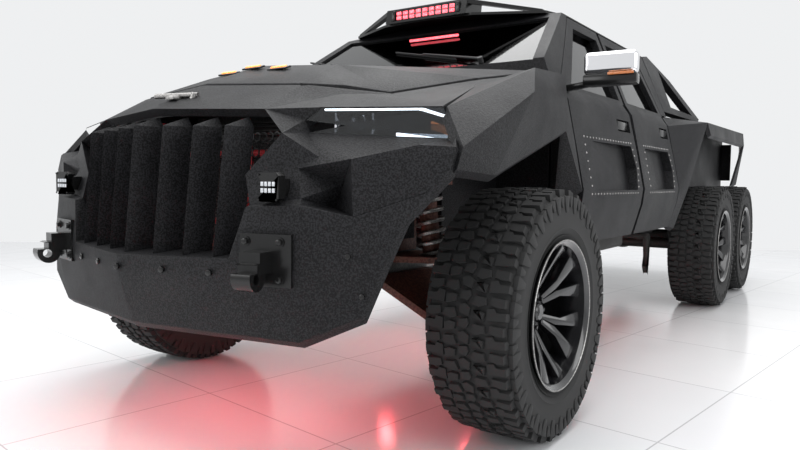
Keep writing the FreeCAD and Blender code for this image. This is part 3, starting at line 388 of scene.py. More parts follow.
def apply_modifier(piece: bpy.types.Object, kind: str, **settings: object) -> None:
    """Adds a modifier with its settings and applies it.

    Args:
        piece: the piece, which becomes active.
        kind: the modifier's type name.
        settings: its values by name.
    """
    pick(piece)
    modifier = piece.modifiers.new(kind.lower(), kind)
    for key, value in settings.items():
        setattr(modifier, key, value)
    bpy.ops.object.modifier_apply(modifier=modifier.name)


def soften(piece: bpy.types.Object, width: float, segments: int = 2, angle: float = 28.0) -> None:
    """Rounds a piece's sharp edges and keeps its flat faces flat.

    Args:
        piece: the piece.
        width: width of the rounding in metres.
        segments: steps across the rounding.
        angle: edges that turn more than this many degrees are rounded.
    """
    apply_modifier(piece, "BEVEL", width=width, segments=segments, limit_method="ANGLE",
                   angle_limit=math.radians(angle), use_clamp_overlap=True)
    bpy.ops.object.shade_smooth()
    apply_modifier(piece, "WEIGHTED_NORMAL", weight=60, keep_sharp=True)


def dress(piece: bpy.types.Object, finish: Finish | Pane | Glow, body: str,
          *replaced: str) -> bpy.types.Object:
    """Gives a finished piece its finish and body.

    Args:
        piece: the piece, in place.
        finish: what it is finished in.
        body: the CAD body that carries it.
        replaced: the CAD nodes that it stands for.

    Returns:
        The piece.
    """
    piece.data.materials.clear()
    piece.data.materials.append(finish.material())
    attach(piece, body)
    if replaced:
        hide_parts(*replaced)
    log.info("%s on %s", piece.name, body)
    return piece


def body_of(node: str) -> str:
    """Name of the CAD body that a node rides on."""
    return frame["nodes"][node]["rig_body"]


def node_copy(node: str, name: str) -> bpy.types.Object:
    """A merged copy of a CAD node's mesh as a new piece.

    Args:
        node: the CAD node.
        name: the new piece's name.

    Returns:
        The copy, on no body yet.
    """
    pick(frame["nodes"][node])
    bpy.ops.object.duplicate()
    piece = bpy.context.object
    piece.name = piece.data.name = name
    piece.parent = None
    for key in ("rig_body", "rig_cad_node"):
        del piece[key]
    bpy.ops.object.mode_set(mode="EDIT")
    bpy.ops.mesh.select_all(action="SELECT")
    bpy.ops.mesh.remove_doubles(threshold=0.00002)
    bpy.ops.mesh.dissolve_limited(angle_limit=math.radians(0.5))
    bpy.ops.object.mode_set(mode="OBJECT")
    return piece


@lru_cache(maxsize=None)
def skin_of(node: str) -> BVHTree:
    """Search tree over a CAD node's faces, in the shared frame."""
    holder = frame["nodes"][node]
    points = [holder.matrix_world @ v.co for v in holder.data.vertices]
    return BVHTree.FromPolygons(points, [tuple(p.vertices) for p in holder.data.polygons])


def surface(node: str, start: Vector, along: Vector) -> tuple[Vector, Vector]:
    """Where a straight line meets a CAD node.

    Args:
        node: the CAD node.
        start: where the line starts.
        along: its direction.

    Returns:
        The point on the node and its outward normal.
    """
    place, normal, _, _ = skin_of(node).ray_cast(start, along)
    if place is None:
        raise ValueError(f"nothing of {node} lies along {along} from {start}")
    return place, normal if normal.dot(along) < 0 else -normal


class Workpiece:
    """One piece of the truck while it is shaped in edit mode."""

    def __init__(self, name: str) -> None:
        """Starts an empty piece.

        Args:
            name: the piece's name.
        """
        deselect()
        bpy.ops.mesh.primitive_plane_add()
        self.piece = bpy.context.object
        self.piece.name = self.piece.data.name = name
        bpy.ops.object.mode_set(mode="EDIT")
        bpy.ops.mesh.select_all(action="SELECT")
        bpy.ops.mesh.delete(type="VERT")

    def block(self, low: Vector, high: Vector, round_off: float = 0.0) -> "Workpiece":
        """Adds a block, rounded if asked.

        Args:
            low: its lowest corner.
            high: its highest corner.
            round_off: width of its rounded edges.

        Returns:
            This workpiece.
        """
        bpy.ops.mesh.primitive_cube_add(size=1, location=(low + high) / 2, scale=high - low)
        return self.round_edges(round_off)

    def round_edges(self, width: float, segments: int = 2) -> "Workpiece":
        """Rounds the edges of what was added last."""
        if width:
            bpy.ops.mesh.bevel(offset=width, segments=segments, affect="EDGES", clamp_overlap=True)
        return self

    def rod(self, start: Vector, end: Vector, radius: float, sides: int = 16, tip: float | None = None,
            round_off: float = 0.0) -> "Workpiece":
        """Adds a rod, tapered where its tip differs.

        Args:
            start: middle of its first end.
            end: middle of its other end.
            radius: radius at the start.
            sides: faces around it.
            tip: radius at the end, if another.
            round_off: width of its rounded edges.

        Returns:
            This workpiece.
        """
        turn = (end - start).to_track_quat("Z", "Y").to_euler()
        bpy.ops.mesh.primitive_cone_add(vertices=sides, radius1=radius,
                                        radius2=radius if tip is None else tip,
                                        depth=(end - start).length, location=(start + end) / 2, rotation=turn)
        return self.round_edges(round_off)

    def hoop(self, middle: Vector, axis: Vector, radius: float, thick: float, steps: int = 48) -> "Workpiece":
        """Adds a ring of round section.

        Args:
            middle: its centre.
            axis: the line it turns about.
            radius: centre to the section's middle.
            thick: radius of the section.
            steps: segments around it.

        Returns:
            This workpiece.
        """
        turn = axis.to_track_quat("Z", "Y").to_euler()
        bpy.ops.mesh.primitive_torus_add(location=middle, rotation=turn, major_segments=steps,
                                         minor_segments=8,
                                         major_radius=radius, minor_radius=thick)
        return self

    def outline(self, corners: list[Vector], filled: bool = True) -> "Workpiece":
        """Adds a many-sided face, or its bare outline, by moving a circle's points to the corners.

        Args:
            corners: the points in order.
            filled: whether the face is closed.

        Returns:
            This workpiece.
        """
        bpy.ops.mesh.primitive_circle_add(vertices=len(corners), radius=1.0,
                                          fill_type="NGON" if filled else "NOTHING")
        mesh = bmesh.from_edit_mesh(self.piece.data)
        ring = [v for v in mesh.verts if v.select]
        for vertex in ring:
            vertex.select_set(False)
        for vertex, corner in zip(ring, corners):
            vertex.select_set(True)
            bpy.ops.transform.translate(value=corner - vertex.co)
            vertex.select_set(False)
        for vertex in ring:
            vertex.select_set(True)
        mesh.select_flush(True)
        bmesh.update_edit_mesh(self.piece.data)
        return self

    def slab(self, corners: list[Vector], along: Vector, round_off: float = 0.0) -> "Workpiece":
        """Adds a plate: a face pushed out along a vector.

        Args:
            corners: the face's points in order.
            along: thickness and direction.
            round_off: width of its rounded edges.

        Returns:
            This workpiece.
        """
        self.outline(corners)
        bpy.ops.mesh.extrude_region_move(TRANSFORM_OT_translate={"value": along})
        bpy.ops.mesh.select_linked()
        return self.round_edges(round_off)

    def lathe(self, profile: list[tuple[float, float]], middle: Vector, side: float,
              steps: int = 64) -> "Workpiece":
        """Turns a closed profile about the axle line.

        Args:
            profile: (radius, distance outboard) points in order.
            middle: the point that the distances start from.
            side: 1 on the left, -1 on the right.
            steps: segments around it.

        Returns:
            This workpiece.
        """
        self.outline([middle + Vector((side * out, 0, radius)) for radius, out in profile], filled=False)
        bpy.ops.mesh.spin(steps=steps, angle=FULL_TURN, center=middle, axis=(1, 0, 0), use_auto_merge=True)
        bpy.ops.mesh.select_linked()
        return self

    def copies_around(self, count: int, middle: Vector, axis: str = "X") -> "Workpiece":
        """Repeats what was added last around an axis.

        Args:
            count: how many there are in the full turn.
            middle: a point on the axis.
            axis: the axis's letter.

        Returns:
            This workpiece.
        """
        for _ in range(count - 1):
            bpy.ops.mesh.duplicate()
            bpy.ops.transform.rotate(value=FULL_TURN / count, orient_axis=axis, center_override=middle)
        return self

    def remove_facing(self, along: Vector, least: float) -> "Workpiece":
        """Deletes the faces that look along a direction.

        Args:
            along: the direction, of length one.
            least: smallest cosine between it and a face's normal.

        Returns:
            This workpiece.
        """
        bpy.ops.mesh.select_all(action="SELECT")
        bpy.ops.mesh.normals_make_consistent(inside=False)
        mesh = bmesh.from_edit_mesh(self.piece.data)
        for face in mesh.faces:
            face.select_set(face.normal.dot(along) > least)
        bmesh.update_edit_mesh(self.piece.data)
        bpy.ops.mesh.delete(type="FACE")
        return self

    def both_sides(self) -> "Workpiece":
        """Adds the mirror image of the whole piece across the centre line."""
        bpy.ops.mesh.select_all(action="SELECT")
        bpy.ops.mesh.duplicate()
        bpy.ops.transform.resize(value=(-1, 1, 1), center_override=(0, 0, 0))
        return self

    def done(self) -> bpy.types.Object:
        """Turns every face outwards and leaves edit mode.

        Returns:
            The finished mesh object, at the origin.
        """
        bpy.ops.mesh.select_all(action="SELECT")
        bpy.ops.mesh.remove_doubles(threshold=0.00001)
        bpy.ops.mesh.normals_make_consistent(inside=False)
        bpy.ops.object.mode_set(mode="OBJECT")
        bpy.ops.object.transform_apply(location=True, rotation=True, scale=True)
        bpy.ops.object.shade_smooth_by_angle(angle=math.radians(32))
        return self.piece


# --- Body ---------------------------------------------------------------------------------------------


@dataclass
class CarriedOver:
    """CAD parts whose shape is right and which only need rounded edges and a finish."""

    edge: float
    finish: Finish
    nodes: tuple

    def build(self) -> None:
        """Copies, rounds and finishes each part."""
        for node in self.nodes:
            piece = node_copy(node, f"{node}_finished")
            soften(piece, self.edge)
            dress(piece, self.finish, body_of(node), node)


@dataclass
class DoorTrim:
    """Rivets round the sunken panels and handles in their pockets, for all four doors."""

    pitch: float = 0.043
    rivet: float = 0.0065
    margin: float = 0.017
    low: float = 0.985
    high: float = 1.238

    def rivet_line(self, corners: list[tuple[float, float]]) -> list[tuple[float, float]]:
        """Evenly spaced places round a closed outline.

        Args:
            corners: (y, z) points of the outline.

        Returns:
            (y, z) of each rivet.
        """
        places = []
        for (y0, z0), (y1, z1) in zip(corners, corners[1:] + corners[:1]):
            run = math.hypot(y1 - y0, z1 - z0)
            count = max(1, round(run / self.pitch))
            places += [(y0 + (y1 - y0) * k / count, z0 + (z1 - z0) * k / count) for k in range(count)]
        return places

    def rivets(self, node: str, front: float, rear: float, tip: float) -> bpy.types.Object:
        """Small domed rivets round one door's sunken panel.

        Args:
            node: the door.
            front: panel's front edge, behind the front axle.
            rear: start of its pointed end.
            tip: reach of the point.

        Returns:
            The rivets as one mesh.
        """
        sign = 1 if node.endswith("left") else -1
        m = self.margin
        middle = (self.low + self.high) / 2
        corners = [(front - m, self.low - m), (rear + m / 2, self.low - m), (rear + tip + m * 1.4, middle),
                   (rear + m / 2, self.high + m), (front - m, self.high + m)]
        work = Workpiece(f"{node}_rivets")
        for y, z in self.rivet_line(corners):
            place, normal = surface(node, at(sign * 1.4, y, z), Vector((-sign, 0, 0)))
            work.rod(place - normal * 0.002, place + normal * 0.003, self.rivet, 8, self.rivet * 0.6)
        return work.done()

    def handle(self, node: str, front: float, z: float) -> bpy.types.Object:
        """Paddle handle lying in its pocket.

        Args:
            node: the door.
            front: the pocket's front edge, behind the front axle.
            z: height of its middle.

        Returns:
            The handle.
        """
        sign = 1 if node.endswith("left") else -1
        skin = surface(node, at(sign * 1.4, front - 0.02, z), Vector((-sign, 0, 0)))[0].x
        work = Workpiece(f"{node}_handle")
        work.block(at(skin - sign * 0.016, front + 0.006, z - 0.024),
                   at(skin - sign * 0.002, front + 0.190, z + 0.024),
                   0.005)
        work.block(at(skin - sign * 0.034, front + 0.012, z - 0.016),
                   at(skin - sign * 0.010, front + 0.040, z + 0.016),
                   0.004)
        return work.done()

    def build(self) -> None:
        """Dresses the doors."""
        for side in ("left", "right"):
            for name, front, rear, pocket, z in (("front_door", 0.790, 1.500, 1.335, 1.352),
                                                 ("rear_door", 1.790, 2.360, 2.242, 1.364)):
                node = f"{name}_{side}"
                dress(self.rivets(node, front, rear, 0.042), STEEL, body_of(node))
                dress(self.handle(node, pocket, z), GLOSS, body_of(node))


@dataclass
class Grille:
    """Perforated sheet behind the blades, red webbing behind it, bolts under the blades and the nose bar."""

    cell: float = 0.0185
    web: float = 0.0042
    half: float = 0.555

    def sheet(self) -> bpy.types.Object:
        """Six-sided holes in a thin sheet that leans with the blades.

        Returns:
            The perforated sheet.
        """
        low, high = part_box("grille_mesh")
        start = Vector((-self.half, low.y + 0.012, low.z + 0.02))
        step = self.cell * math.sqrt(3)
        work = Workpiece("grille_perforations")
        for shift, rise in ((0, 0), (step / 2, self.cell * 1.5)):
            ring = [start + Vector((shift + self.cell * math.sin(math.radians(60 * k)), 0,
                                    rise + self.cell * math.cos(math.radians(60 * k)))) for k in range(6)]
            work.outline(ring)
            bpy.ops.mesh.inset(thickness=self.web)
            bpy.ops.mesh.delete(type="FACE")
        bpy.ops.mesh.select_all(action="SELECT")
        bpy.ops.mesh.extrude_region_move(TRANSFORM_OT_translate={"value": (0, 0.003, 0)})
        piece = work.done()
        apply_modifier(piece, "ARRAY", use_relative_offset=False, use_constant_offset=True,
                       constant_offset_displace=(step, 0, 0), count=int(2 * self.half / step),
                       use_merge_vertices=True)
        apply_modifier(piece, "ARRAY", use_relative_offset=False, use_constant_offset=True,
                       constant_offset_displace=(0, 0, self.cell * 3),
                       count=int((high.z - low.z - 0.07) / self.cell / 3),
                       use_merge_vertices=True)
        bpy.ops.object.mode_set(mode="EDIT")
        bpy.ops.mesh.select_all(action="SELECT")
        bpy.ops.transform.rotate(value=math.atan2(0.055, 0.55), orient_axis="X", center_override=start)
        bpy.ops.object.mode_set(mode="OBJECT")
        return piece

    def webbing(self) -> bpy.types.Object:
        """Two red straps and cross tubes that show through the sheet.

        Returns:
            The straps and tubes as one piece.
        """
        work = Workpiece("grille_red_straps")
        for x, lean in ((-0.33, 0.06), (0.28, -0.05)):
            corners = [at(x, -0.79, 0.80), at(x + 0.045, -0.79, 0.80), at(x + 0.045 + lean, -0.78, 1.25),
                       at(x + lean, -0.78, 1.25)]
            work.slab(corners, Vector((0, 0.006, 0)))
        for z in (0.86, 1.12):
            work.rod(at(-0.5, -0.77, z), at(0.5, -0.77, z), 0.014)
        return work.done()

    def radiator(self) -> bpy.types.Object:
        """Cooler core with its tanks, behind the sheet.

        Returns:
            The core.
        """
        work = Workpiece("radiator_core")
        for k in range(30):
            z = 0.80 + 0.015 * k
            work.block(at(-0.46, -0.735, z), at(0.46, -0.705, z + 0.004))
        for x in (-0.50, 0.46):
            work.block(at(x, -0.75, 0.78), at(x + 0.04, -0.69, 1.25), 0.006)
        return work.done()

    def nose_bar(self) -> bpy.types.Object:
        """Bare latch bar on the middle of the nose.

        Returns:
            The bar.
        """
        top, _ = surface("nose_armour", at(0.03, -0.90, 1.6), Vector((0, 0, -1)))
        work = Workpiece("nose_latch_bar")
        work.rod(top + Vector((-0.10, -0.035, 0.012)), top + Vector((0.06, 0.035, 0.016)), 0.010, 12)
        work.block(top + Vector((-0.05, -0.03, -0.004)), top + Vector((0.0, 0.02, 0.014)), 0.004)
        work.rod(top + Vector((0.04, 0.026, -0.004)), top + Vector((0.05, 0.030, 0.022)), 0.014, 12)
        return work.done()

    def bolts(self) -> bpy.types.Object:
        """Row of hexagon bolts under the blades.

        Returns:
            The bolts as one piece.
        """
        work = Workpiece("bumper_bolts")
        for k in range(-3, 4):
            x = 0.19 * k
            place, normal = surface("front_bumper", at(x, -1.6, 0.712), Vector((0, 1, 0)))
            work.rod(place - normal * 0.003, place + normal * 0.009, 0.012, 6, round_off=0.0015)
        return work.done()

    def build(self) -> None:
        """Fits the grille."""
        dress(self.sheet(), MESH, "chassis", "grille_mesh")
        dress(self.webbing(), STRAP, "chassis")
        dress(self.radiator(), CHASSIS, "chassis")
        dress(self.nose_bar(), STEEL, "chassis")
        dress(self.bolts(), GLOSS, "chassis")


@dataclass
class HeadLamps:
    """The two long headlamps: dark housing, projector, light strips, marker and lens."""

    depth: float = 0.062
    strip_height: float = 0.011

    def corners(self, set_back: float) -> dict[str, Vector]:
        """Corners of the left lamp's face.

        Args:
            set_back: how far they lie behind the armour's face.

        Returns:
            The corners by name.
        """
        flat = {"tp": (0.600, -0.832, 1.226), "bl": (0.612, -0.826, 1.184), "br": (1.052, -0.640, 1.160),
                "rr": (1.066, -0.632, 1.206), "u1": (1.030, -0.648, 1.268), "u0": (0.650, -0.808, 1.269)}
        return {key: at(x, y + set_back, z) for key, (x, y, z) in flat.items()}

    def strip(self, work: Workpiece, start: Vector, end: Vector, drop: Vector, thick: float) -> None:
        """Adds a thin bar between two points.

        Args:
            work: the piece it is added to.
            start: its first upper corner.
            end: its other upper corner.
            drop: from the upper edge to the lower edge.
            thick: how deep it is.
        """
        work.slab([start, end, end + drop, start + drop], Vector((0, thick, 0)), 0.0015)

    def housing(self, ring: list[Vector]) -> None:
        """Builds the open housings.

        Args:
            ring: the left lamp's outline.
        """
        work = Workpiece("headlamp_housings")
        work.outline(ring)
        bpy.ops.mesh.extrude_region_move(TRANSFORM_OT_translate={"value": (0, self.depth, 0)})
        work.both_sides()
        work.remove_facing(Vector((0, -1, 0)), 0.5)
        shell = work.done()
        apply_modifier(shell, "SOLIDIFY", thickness=0.003, offset=-1)
        dress(shell, GLOSS, "chassis")

    def strips(self, face: dict[str, Vector]) -> None:
        """Builds the daylight strips along the top edge and the outer bottom edge.

        Args:
            face: the left lamp's corners by name.
        """
        u0, u1, rr = face["u0"], face["u1"], face["rr"]
        bl, br = face["bl"], face["br"]
        down = Vector((0, 0, -self.strip_height))
        work = Workpiece("daylight_strips")
        self.strip(work, u0.lerp(u1, 0.02), u0.lerp(u1, 0.80), down, 0.010)
        self.strip(work, u0.lerp(u1, 0.80), u1.lerp(rr, 0.5), down, 0.010)
        self.strip(work, bl.lerp(br, 0.62) + Vector((0, 0.004, 0.014)),
                   bl.lerp(br, 0.97) + Vector((0, 0.004, 0.016)), down, 0.010)
        work.both_sides()
        dress(work.done(), WHITE_GLOW, "chassis")

    def markers(self, face: dict[str, Vector]) -> None:
        """Builds the amber markers at the outer ends.

        Args:
            face: the left lamp's corners by name.
        """
        work = Workpiece("headlamp_markers")
        self.strip(work, face["bl"].lerp(face["br"], 0.86) + Vector((0, 0.006, 0.058)),
                   face["rr"] + Vector((-0.022, 0.0, -0.006)), Vector((0, 0, -0.026)), 0.008)
        work.both_sides()
        dress(work.done(), AMBER_GLOW, "chassis")

    def projectors(self, face: dict[str, Vector]) -> None:
        """Builds the projectors with their rings and the fins between them.

        Args:
            face: the left lamp's corners by name.
        """
        work = Workpiece("headlamp_projectors")
        for part in (0.30, 0.56):
            middle = face["bl"].lerp(face["br"], part) + Vector((0, 0.040, 0.045))
            work.rod(middle, middle + Vector((0, 0.022, 0)), 0.030, 24, 0.020)
            work.hoop(middle, Vector((0, 1, 0)), 0.029, 0.003, 24)
        for part in (0.16, 0.43, 0.69):
            low = face["bl"].lerp(face["br"], part) + Vector((0, 0.016, 0.006))
            work.slab([low, low + Vector((0.006, 0.003, 0)), low + Vector((0.006, 0.003, 0.07)),
                       low + Vector((0, 0, 0.07))], Vector((0, 0.03, 0)))
        work.both_sides()
        dress(work.done(), CHROME, "chassis")

    def lenses(self, ring: list[Vector]) -> None:
        """Builds the clear covers.

        Args:
            ring: the left lamp's outline.
        """
        work = Workpiece("headlamp_lenses")
        work.slab([p + Vector((0, -0.003, 0)) for p in ring], Vector((0, 0.004, 0)))
        work.both_sides()
        dress(work.done(), LENS, "chassis", "front_lamps")

    def build(self) -> None:
        """Builds both lamps from the back to the front."""
        face = self.corners(0.006)
        ring = [face[key] for key in ("tp", "u0", "u1", "rr", "br", "bl")]
        self.housing(ring)
        self.strips(face)
        self.markers(face)
        self.projectors(face)
        self.lenses(ring)


@dataclass
class PodLamps:
    """Square work lamps on the cheeks: bezel, eight diodes and four screws."""

    half: float = 0.047
    x: float = 0.605
    y: float = -1.010
    z: float = 1.0

    def build(self) -> None:
        """Builds both lamps."""
        middle = at(self.x, self.y, self.z)
        h, cut = self.half, 0.010
        frame_ring = [(-h, -h + cut), (-h + cut, -h), (h - cut, -h), (h, -h + cut), (h, h - cut),
                      (h - cut, h),
                      (-h + cut, h), (-h, h - cut)]
        bezel = Workpiece("pod_lamp_bezels")
        bezel.outline([middle + Vector((x, 0, z)) for x, z in frame_ring])
        bpy.ops.mesh.extrude_region_move(TRANSFORM_OT_translate={"value": (0, 0.03, 0)})
        bpy.ops.mesh.select_linked()
        bezel.block(middle + Vector((-0.028, 0.03, -0.028)), middle + Vector((0.028, 0.075, 0.028)), 0.004)
        for sx in (-1, 1):
            for sz in (-1, 1):
                spot = middle + Vector((sx * (h - 0.007), -0.001, sz * (h - 0.007)))
                bezel.rod(spot, spot + Vector((0, -0.003, 0)), 0.0035, 8)
        bezel.both_sides()
        dress(bezel.done(), GLOSS, "chassis")

        cups = Workpiece("pod_lamp_diodes")
        for column in range(4):
            for row in range(2):
                spot = middle + Vector((-0.0255 + 0.017 * column, -0.002, -0.0105 + 0.021 * row))
                cups.block(spot + Vector((-0.0058, 0, -0.0070)), spot + Vector((0.0058, 0.004, 0.0070)),
                           0.001)
        cups.both_sides()
        dress(cups.done(), DIODE, "chassis")


@dataclass
class LightBar:
    """Red roof light bar in its housing, with bolted end caps."""

    columns: int = 9

    def build(self) -> None:
        """Builds the bar."""
        low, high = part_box("light_bar")
        inset = Vector((0.002, 0.012, 0.002))
        case = Workpiece("light_bar_case")
        case.block(low + inset, high - Vector((0.002, 0.0, 0.002)), 0.004)
        for x in (low.x, high.x - 0.026):
            case.block(Vector((x, low.y, low.z)), Vector((x + 0.026, high.y - 0.01, high.z)), 0.005)
        for x in (low.x + 0.013, high.x - 0.013):
            for z in (low.z + 0.015, high.z - 0.015):
                case.rod(Vector((x, low.y + 0.001, z)), Vector((x, low.y - 0.003, z)), 0.004, 6)
        dress(case.done(), GLOSS, "chassis", "light_bar")

        span = (high.x - low.x - 0.060) / self.columns
        lit = Workpiece("light_bar_diodes")
        for row in range(2):
            for column in range(self.columns):
                x = low.x + 0.030 + span * (column + 0.5)
                z = low.z + (high.z - low.z) * (0.28 + 0.44 * row)
                lit.block(Vector((x - span * 0.36, low.y + 0.006, z - 0.010)),
                          Vector((x + span * 0.36, low.y + 0.013, z + 0.010)), 0.003)
        dress(lit.done(), RED_GLOW, "chassis")

        glass, _ = surface("cab_glass", at(0, 0.93, 2.4), Vector((0, 0, -1)))
        strip = Workpiece("screen_top_strip")
        strip.block(glass + Vector((-0.17, 0.0, 0.012)), glass + Vector((0.17, 0.010, 0.026)), 0.003)
        dress(strip.done(), RED_GLOW, "chassis")


@dataclass
class HoodLamps:
    """Three amber clearance lamps under the front lip of the hood's raised centre."""

    def build(self) -> None:
        """Builds the recess and the lamps."""
        for name, finish, wide, tall, foot, thick in (("hood_lamp_recess", GLOSS, 0.052, 0.020, 0.001, 0.008),
                                                      ("hood_amber_lamps", AMBER_GLOW, 0.040, 0.010, 0.008,
                                                       0.006)):
            work = Workpiece(name)
            for x in (-0.15, 0.0, 0.15):
                place, normal = surface("hood", at(x, -0.50, 2.0), Vector((0, 0, -1)))
                flat = Vector((1, 0, 0))
                up = normal.cross(flat).normalized()
                work.slab([place + flat * sx * wide + up * sy * tall + normal * foot
                           for sx, sy in ((-1, -1), (1, -1), (1, 1), (-1, 1))], normal * thick, 0.003)
            dress(work.done(), finish, "hood")


@dataclass
class Mirrors:
    """Chrome-capped door mirrors with black lower shells and turn lamps."""

    def build(self) -> None:
        """Builds one mirror on each front door."""
        for side, sign in (("left", 1), ("right", -1)):
            node = f"mirror_{side}"
            low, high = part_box(node)
            inner = min(abs(low.x), abs(high.x))
            outer = max(abs(low.x), abs(high.x))
            front, rear = low.y, high.y
            plan = [(inner + 0.115, front + 0.006), (outer - 0.004, front + 0.022),
                    (outer - 0.014, rear - 0.008),
                    (inner + 0.120, rear - 0.010)]
            split = low.z + (high.z - low.z) * 0.30
            cap = Workpiece(f"mirror_cap_{side}")
            cap.slab([Vector((sign * x, y, split)) for x, y in plan], Vector((0, 0, high.z - split - 0.001)))
            piece = cap.done()
            soften(piece, 0.026, 5)
            dress(piece, CHROME, body_of(node), node)
            shell = Workpiece(f"mirror_shell_{side}")
            shell.slab([Vector((sign * x, y, low.z + 0.002)) for x, y in plan],
                       Vector((0, 0, split - low.z + 0.004)),
                       0.010)
            foot = surface(f"front_door_{side}", Vector((sign * 1.3, (front + rear) / 2 + 0.01,
                                                         low.z - 0.02)),
                           Vector((-sign, 0, 0)))[0]
            arm = [Vector((sign * (inner + 0.16), y, low.z + z)) for y, z in
                   ((front + 0.045, 0.006), (rear - 0.03, 0.006), (rear - 0.03, 0.035),
                    (front + 0.045, 0.035))]
            shell.slab(arm, Vector((foot.x - arm[0].x - sign * 0.02, 0, -0.02)), 0.006)
            dress(shell.done(), GLOSS, body_of(node))
            glass = Workpiece(f"mirror_glass_{side}")
            glass.block(Vector((sign * (inner + 0.235), rear - 0.013, low.z + 0.055)) - Vector((0.095, 0, 0)),
                        Vector((sign * (inner + 0.235), rear - 0.007, high.z - 0.03)) + Vector((0.095, 0, 0)),
                        0.002)
            dress(glass.done(), CHROME, body_of(node))
            lamp = Workpiece(f"mirror_turn_lamp_{side}")
            lamp.block(Vector((sign * (outer - 0.075), front + 0.004, split - 0.004)) - Vector((0.06, 0, 0)),
                       Vector((sign * (outer - 0.075), front + 0.014, split + 0.008)) + Vector((0.06, 0, 0)),
                       0.002)
            dress(lamp.done(), AMBER_LENS, body_of(node))


@dataclass
class TowHooks:
    """Rounded tow hooks with the bolts of their bracket plates."""

    def build(self) -> None:
        """Copies the hooks and bolts them on."""
        piece = node_copy("tow_hooks", "tow_hooks_finished")
        soften(piece, 0.004, 3)
        dress(piece, GLOSS, "chassis", "tow_hooks")
        work = Workpiece("tow_hook_bolts")
        for x in (0.525, 0.648):
            for z in (0.705, 0.825):
                place, normal = surface("tow_hooks", at(x, -1.6, z), Vector((0, 1, 0)))
                work.rod(place - normal * 0.002, place + normal * 0.004, 0.016, 16)
                work.rod(place, place + normal * 0.013, 0.011, 6, round_off=0.001)
        work.both_sides()
        dress(work.done(), GLOSS, "chassis")


# --- Wheels -------------------------------------------------------------------------------------------


